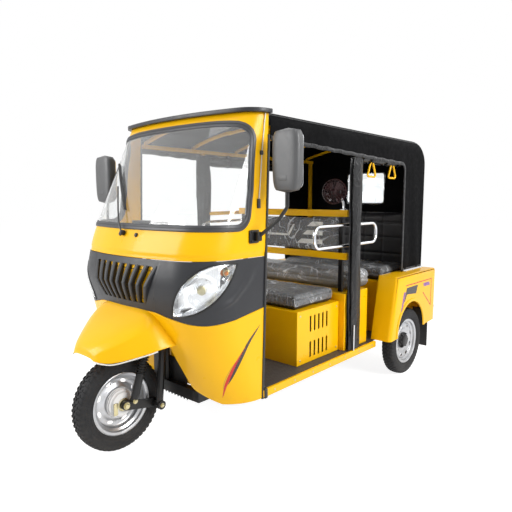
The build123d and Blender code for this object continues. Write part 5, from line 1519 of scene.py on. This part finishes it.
# Rings and spokes of the fan's cage: share of its radius, place along its axis
FAN_RINGS = ((1.0, 0.0), (0.92, 0.018), (0.72, 0.024), (0.46, 0.027), (0.92, -0.018), (0.65, -0.024))
FAN_SPOKE = ((0.20, 0.029), (0.55, 0.026), (0.90, 0.018), (1.0, 0.0))


def fan():
    """Small round fan on a bent arm at the end of the partition."""
    centre, way = at(0.425, 1.385, 1.362), Vector((0.25, -1, 0.05)).normalized()
    u = way.orthogonal().normalized()
    v = way.cross(u)

    def ray(a):
        return u * math.cos(a) + v * math.sin(a)

    cage = Shape()
    for share, along in FAN_RINGS:
        ring = [centre + way * along + ray(a) * FAN_R * share for a in turns(48)]
        cage.tube(ring, 0.0014 if along else 0.0035, 6, closed=True)
    for a in turns(20):
        for side in (1, -1):
            spoke = [centre + ray(a) * FAN_R * share + way * along * side for share, along in FAN_SPOKE]
            cage.tube(curve(spoke, 8), 0.0011, 5)
    cage.piece("fan_cage", fan_red, slot="red_lens")
    blades = Shape().lathe([(-0.010, 0.016), (0.013, 0.016), (0.018, 0.009)], centre, way, 24)
    for i in range(4):
        rows = []
        for share in spread(0.17, 0.83, 8):
            angles = [(math.pi * i / 2 + k * (0.9 + 0.23 * share), k) for k in spread(-0.5, 0.5, 7)]
            rows.append([centre + ray(a) * FAN_R * share + way * k * 0.018 for a, k in angles])
        blades.grid(rows)
    blades.piece("fan_blades", fan_red, slot="red_lens", angle=60)
    profile = [(-0.068, 0.014), (-0.064, 0.026), (-0.028, 0.031), (-0.024, 0.018)]
    Shape().lathe(profile, centre, way, 32).piece("fan_motor", black_paint, slot="black_plastic")
    foot = at(0.452, 1.462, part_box("partition_frame")[1].z)
    bend = [foot, foot + Vector((-0.004, 0, 0.045)), foot + Vector((-0.018, -0.012, 0.080)),
            centre - way * 0.050 - Z_AXIS * 0.016]
    arm = Shape().tube(curve(bend, 20), 0.0075, 12)
    arm.lathe([(0, 0.022), (0.005, 0.022), (0.010, 0.012)], foot, Z_AXIS, 24)
    arm.piece("fan_arm", chrome, slot="chrome")


def arch_line(start, end, count, grow=0.0):
    """Wheel arch of the rear body, as (y, height) pairs."""
    y, z, r = ARCH
    return [(y + (r + grow) * math.cos(a), z + (r + grow) * math.sin(a)) for a in spread(start, end, count)]


def quarter_panels():
    """Wheel boxes with rounded outer edges and an open arch."""
    low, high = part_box("quarter_panel_left")
    outer = upright(FENDER, Y_AXIS, (low.x, high.x)).mesh("wheel_box")
    form = bmesh.new()
    form.from_mesh(outer)
    rims = []
    for edge in form.edges:
        a, b = (v.co for v in edge.verts)
        top_or_rear = max(a.z, b.z) > high.z - WALL or min(a.y, b.y) > high.y - WALL
        if min(a.x, b.x) > high.x - WALL and top_or_rear:
            rims.append(edge)
    bmesh.ops.bevel(form, geom=rims, offset=FENDER_ROUND, segments=6, profile=0.5, affect="EDGES")
    form.to_mesh(outer)
    form.free()
    inner = [(y + (SHEET if y < 2.0 else -SHEET), z - (SHEET if z > 0.5 else 0.04)) for y, z in FENDER]
    wheel = arch_line(0, math.pi, 41) + [(ARCH[0] - ARCH[2], 0.0), (ARCH[0] + ARCH[2], 0.0)]
    for side, sign in SIDES:
        skin = bpy.data.objects.new(f"wheel_box_{side}", outer.copy())
        scene.collection.objects.link(skin)
        skin.data.materials.append(yellow)
        hollow = upright(inner, Y_AXIS, (low.x + SHEET, high.x - SHEET)).bare()
        carve(skin, hollow, upright(wheel, Y_AXIS, (TRACK_HALF, high.x + WALL)).bare())
        for v in skin.data.vertices:
            v.co.x *= sign
        if sign < 0:
            skin.data.flip_normals()
        dress(skin, replaces=[f"quarter_panel_{side}"])


# Flat stripes on the rear body: name, finish, outlines of (y, height)
QUARTER_STRIPES = (
    ("violet", stripe_violet, (((1.955, 0.640), (1.985, 0.640), (1.930, 0.500), (1.912, 0.500)),
                               ((2.290, 0.668), (2.400, 0.668), (2.415, 0.640), (2.300, 0.640)))),
    ("dark", stripe_black, (((2.000, 0.668), (2.190, 0.668), (2.160, 0.606), (2.010, 0.620), (1.960, 0.560),
                             (1.952, 0.540)),)),
    ("red", stripe_red, (((1.985, 0.690), (2.440, 0.690), (2.440, 0.683), (1.985, 0.683)),
                         ((2.438, 0.690), (2.446, 0.690), (2.446, 0.470), (2.438, 0.470)),
                         ((2.290, 0.600), (2.440, 0.480), (2.440, 0.470), (2.282, 0.596)))),
)
STRIP_OUT = Vector((0.6, 0, 0.8))


def quarter_trim():
    """Arch lips, bright strips and stripes on the rear body."""
    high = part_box("quarter_panel_left")[1]
    lips, strips = Shape(), Shape()
    ring = [(1.864, 0.318), *arch_line(math.pi, 0, 50, 0.003), (2.326, 0.342)]
    band = [(-0.012, -0.004), (0.014, -0.004), (0.011, 0.003), (-0.006, 0.005), (-0.012, 0.003)]
    lips.sweep([at(high.x + 0.0005, y, z) for y, z in ring], band, X_AXIS)
    lips.both_sides().piece("arch_lips", yellow, slot="yellow_paint")
    edge = [at(0.566, y, high.z + 0.004) for y in spread(2.15, 2.49, 20)]
    strips.sweep(edge, trapeze(0.010, -0.004, 0.008, 0.005), STRIP_OUT)
    for y in (2.17, 2.30, 2.44):
        strips.bolt(at(0.574, y, high.z + 0.004), STRIP_OUT, 0.005, 0.003)
    strips.both_sides().piece("quarter_strips", chrome, slot="chrome")
    for name, material, outlines in QUARTER_STRIPES:
        shape = Shape()
        for outline in outlines:
            shape.prism(outline, at(high.x + 0.0008, 0, 0), Y_AXIS, Z_AXIS, (-0.0006, 0.0))
        shape.both_sides().piece(f"quarter_stripe_{name}", material, slot="black_plastic")


def tail():
    """Lenses of the tail lamps and a rib on the tail panel."""
    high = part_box("tail_lamps")[1]
    for z0, z1, material, name in ((0.604, 0.688, red_lens, "stop"), (0.562, 0.602, amber_lens, "turn")):
        lens = Shape().box(Vector((high.x - 0.060, high.y - 0.004, z0)),
                           Vector((high.x - 0.002, high.y + 0.006, z1)), 0.003)
        lens.both_sides().piece(f"tail_lens_{name}", material, slot="red_lens")
    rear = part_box("tail_panel")[1].y
    ring = rounded(rectangle((-0.40, 0.50), (0.40, 0.725)), 0.03, range(4), 6)
    path = [Vector((p.x, rear, p.y)) for p in ring]
    rib = Shape().sweep(path, trapeze(0.004, -0.002, 0.002, 0.003), Y_AXIS, closed=True)
    rib.piece("tail_rib", yellow, slot="yellow_paint")


def fastenings():
    """Screws on the seat box and the sills, and caps on the sills' front ends."""
    screws = Shape()
    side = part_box("driver_seat_box")[1].x
    for y in (0.965, 1.365):
        for z in (0.335, 0.610):
            screws.lathe([(0, 0.007), (0.002, 0.007), (0.0035, 0.004)], at(side, y, z), X_AXIS, 16)
    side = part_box("side_sills")[1].x
    for y in spread(0.62, 1.70, 7):
        screws.lathe([(0, 0.006), (0.002, 0.006), (0.003, 0.003)], at(side, y, 0.285), X_AXIS, 16)
    screws.both_sides().piece("body_screws", zinc, slot="chrome")
    caps = Shape().box(at(0.536, 0.532, 0.256), at(0.567, 0.556, 0.312), 0.006)
    caps.both_sides().piece("sill_end_caps", rubber, slot="rubber")


# Stage


def stage():
    camera = bpy.data.objects.new("camera", bpy.data.cameras.new("camera"))
    camera.location = CAMERA_AT
    camera.rotation_euler = (math.radians(CAMERA_TILT), 0, math.radians(CAMERA_TURN))
    camera.data.lens = CAMERA_LENS
    camera.data.sensor_width = CAMERA_SENSOR
    scene.collection.objects.link(camera)
    scene.camera = camera

    ends = -FLOOR_HALF, FLOOR_HALF
    ground = Shape().grid([[Vector((x, y, 0)) for x in ends] for y in ends]).bare("floor")
    mat = bpy.data.materials.new("pale_floor")
    mat.use_nodes = True
    tree = mat.node_tree
    tree.nodes.clear()
    out = tree.nodes.new("ShaderNodeOutputMaterial")
    mix = tree.nodes.new("ShaderNodeMixShader")
    base = tree.nodes.new("ShaderNodeBsdfDiffuse")
    base.inputs["Color"].default_value = colour(0.86, 0.86, 0.86)
    glow = tree.nodes.new("ShaderNodeEmission")
    glow.inputs["Strength"].default_value = FLOOR_GLOW
    share = seen_share(tree, FLOOR_SHARE)
    tree.links.new(share, mix.inputs[0])
    tree.links.new(base.outputs[0], mix.inputs[1])
    tree.links.new(glow.outputs[0], mix.inputs[2])
    tree.links.new(mix.outputs[0], out.inputs[0])
    ground.data.materials.append(mat)

    world = bpy.data.worlds.new("studio")
    scene.world = world
    world.use_nodes = True
    tree = world.node_tree
    sky = tree.nodes["Background"]
    sky.inputs["Color"].default_value = colour(1, 1, 1)
    share = seen_share(tree, 1.0)
    level = tree.nodes.new("ShaderNodeMapRange")
    level.inputs["To Min"].default_value = SKY_LEVEL
    level.inputs["To Max"].default_value = 1.0
    tree.links.new(share, level.inputs["Value"])
    tree.links.new(level.outputs[0], sky.inputs["Strength"])

    for name, place, size, power, target in LIGHTS:
        light = bpy.data.objects.new(name, bpy.data.lights.new(name, "AREA"))
        light.data.energy = power
        light.data.size = size
        light.location = place
        light.rotation_euler = (Vector(target) - Vector(place)).to_track_quat("-Z", "Y").to_euler()
        scene.collection.objects.link(light)


def seen_share(tree, share):
    """A share for rays from the camera, straight or by way of gloss and glass, and 0 for the rest."""
    path = tree.nodes.new("ShaderNodeLightPath")
    total = path.outputs["Is Camera Ray"]
    for ray in ("Is Glossy Ray", "Is Transmission Ray"):
        either = tree.nodes.new("ShaderNodeMath")
        either.operation = "MAXIMUM"
        tree.links.new(total, either.inputs[0])
        tree.links.new(path.outputs[ray], either.inputs[1])
        total = either.outputs[0]
    scaled = tree.nodes.new("ShaderNodeMath")
    scaled.operation = "MULTIPLY"
    scaled.inputs[1].default_value = share
    tree.links.new(total, scaled.inputs[0])
    return scaled.outputs[0]


stage()
finish_cad()
cab()
seal()
grille()
headlamps()
decals()
beak()
front_trim()
wiper()
wheels()
shocks()
seats()
canopy()
curtains()
mirrors()
fan()
quarter_panels()
quarter_trim()
tubes()
tail()
fastenings()
scene.view_settings.view_transform = "Standard"
